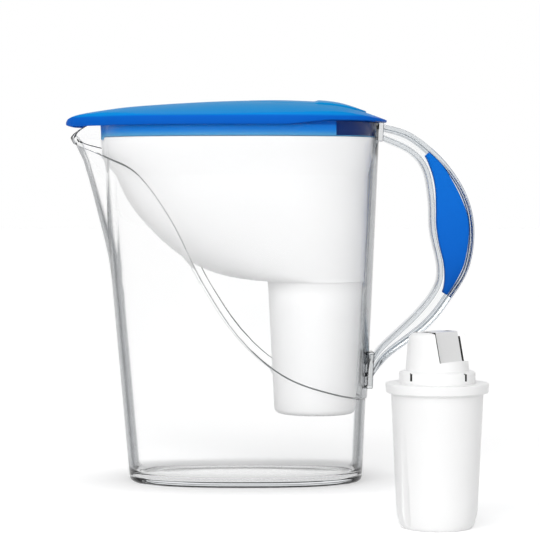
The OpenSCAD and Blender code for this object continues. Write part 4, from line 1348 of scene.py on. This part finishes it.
def on_scoop(x, y, z):
    """True on the flat back of a finger recess, which is painted a pale grey shade."""
    for angle in SCOOP_TURNS:
        out, side = beside(x, y, angle)
        if z > SCOOP_SILL and abs(behind_scoop(out, z)) < 0.3 and side < SCOOP_HALF - 1:
            return True
    return False


# Painted shade: dark grey in the slots and gaps, pale grey on the recesses' backs
paint_shade_on_faces(cap, GREY_PAINTED_SHADE, in_a_slot)
paint_shade_on_faces(cap, SCOOP_PAINTED_SHADE, on_scoop)

# %% [markdown]
# ## Finishes for the CAD pieces that stay
# The hinge pin is drawn steel wire, the screens are woven nylon and the bed is
# charcoal and resin in millimetre grains. Their CAD shapes are right, so each only
# gets a finish.

# %% Steel, mesh and grains
def drawn_steel():
    material, tree, output, place = new_material("steel_drawn_wire")
    # Die lines run along the wire, here along Y, about 0.1 mm apart
    along = add_node(tree, "Mapping", {"Scale": (10000, 200, 10000)}, {"Vector": place})
    lines = noise(tree, along.outputs[0], 1, 2)
    rough = rescale(tree, lines, {"To Min": 0.22, "To Max": 0.4})
    steel = add_node(tree, "BsdfPrincipled", {"Base Color": colour("c9c9cc"), "Metallic": 1},
                     {"Roughness": rough})
    tree.links.new(steel.outputs[0], output.inputs["Surface"])
    return material


def woven_nylon():
    material, tree, output, place = new_material("nylon_woven_screen")
    # Threads every 0.8 mm, coarser than the real 0.3 mm so that they can show
    threads = []
    for turn in (0, math.pi / 2):
        way = add_node(tree, "Mapping", {"Rotation": (0, 0, turn)}, {"Vector": place})
        threads.append(add_node(tree, "TexWave", {"Scale": 1 / (0.8 * MM) / 20 * math.pi},
                                {"Vector": way.outputs[0]}))
    weave = calculate(tree, "MAXIMUM", threads[0].outputs["Fac"], threads[1].outputs["Fac"])
    shade = add_node(tree, "Mix", {"data_type": "RGBA", 6: colour("8c8c8a"), 7: colour("e6e6e2")},
                     {0: weave})
    relief = add_node(tree, "Bump", {"Distance": 0.0002}, {"Height": weave})
    nylon = add_node(tree, "BsdfPrincipled", {"Roughness": 0.55},
                     {"Base Color": shade.outputs[2], "Normal": relief.outputs[0]})
    tree.links.new(nylon.outputs[0], output.inputs["Surface"])
    return material


def charcoal_grains():
    material, tree, output, place = new_material("charcoal_and_resin_grains")
    grains = add_node(tree, "TexVoronoi", {"Scale": 1 / (1.0 * MM)}, {"Vector": place})
    shade = add_node(tree, "ValToRGB", {}, {"Fac": grains.outputs["Color"]})
    shade.color_ramp.elements[0].color = colour("1d1c1b")
    shade.color_ramp.elements[1].color = colour("b98a3c")
    shade.color_ramp.elements[1].position = 0.95
    relief = add_node(tree, "Bump", {"Distance": 0.0004, "invert": True},
                      {"Height": grains.outputs["Distance"]})
    bed = add_node(tree, "BsdfPrincipled", {"Roughness": 0.7},
                   {"Base Color": shade.outputs[0], "Normal": relief.outputs[0]})
    tree.links.new(bed.outputs[0], output.inputs["Surface"])
    return material


steel, nylon, grains = drawn_steel(), woven_nylon(), charcoal_grains()
for node, material in (("flap_hinge_pin", steel), ("top_screen", nylon), ("bottom_screen", nylon),
                       ("filter_bed", grains)):
    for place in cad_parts[node].material_slots:
        place.material = material
    print(node, "in", material.name)
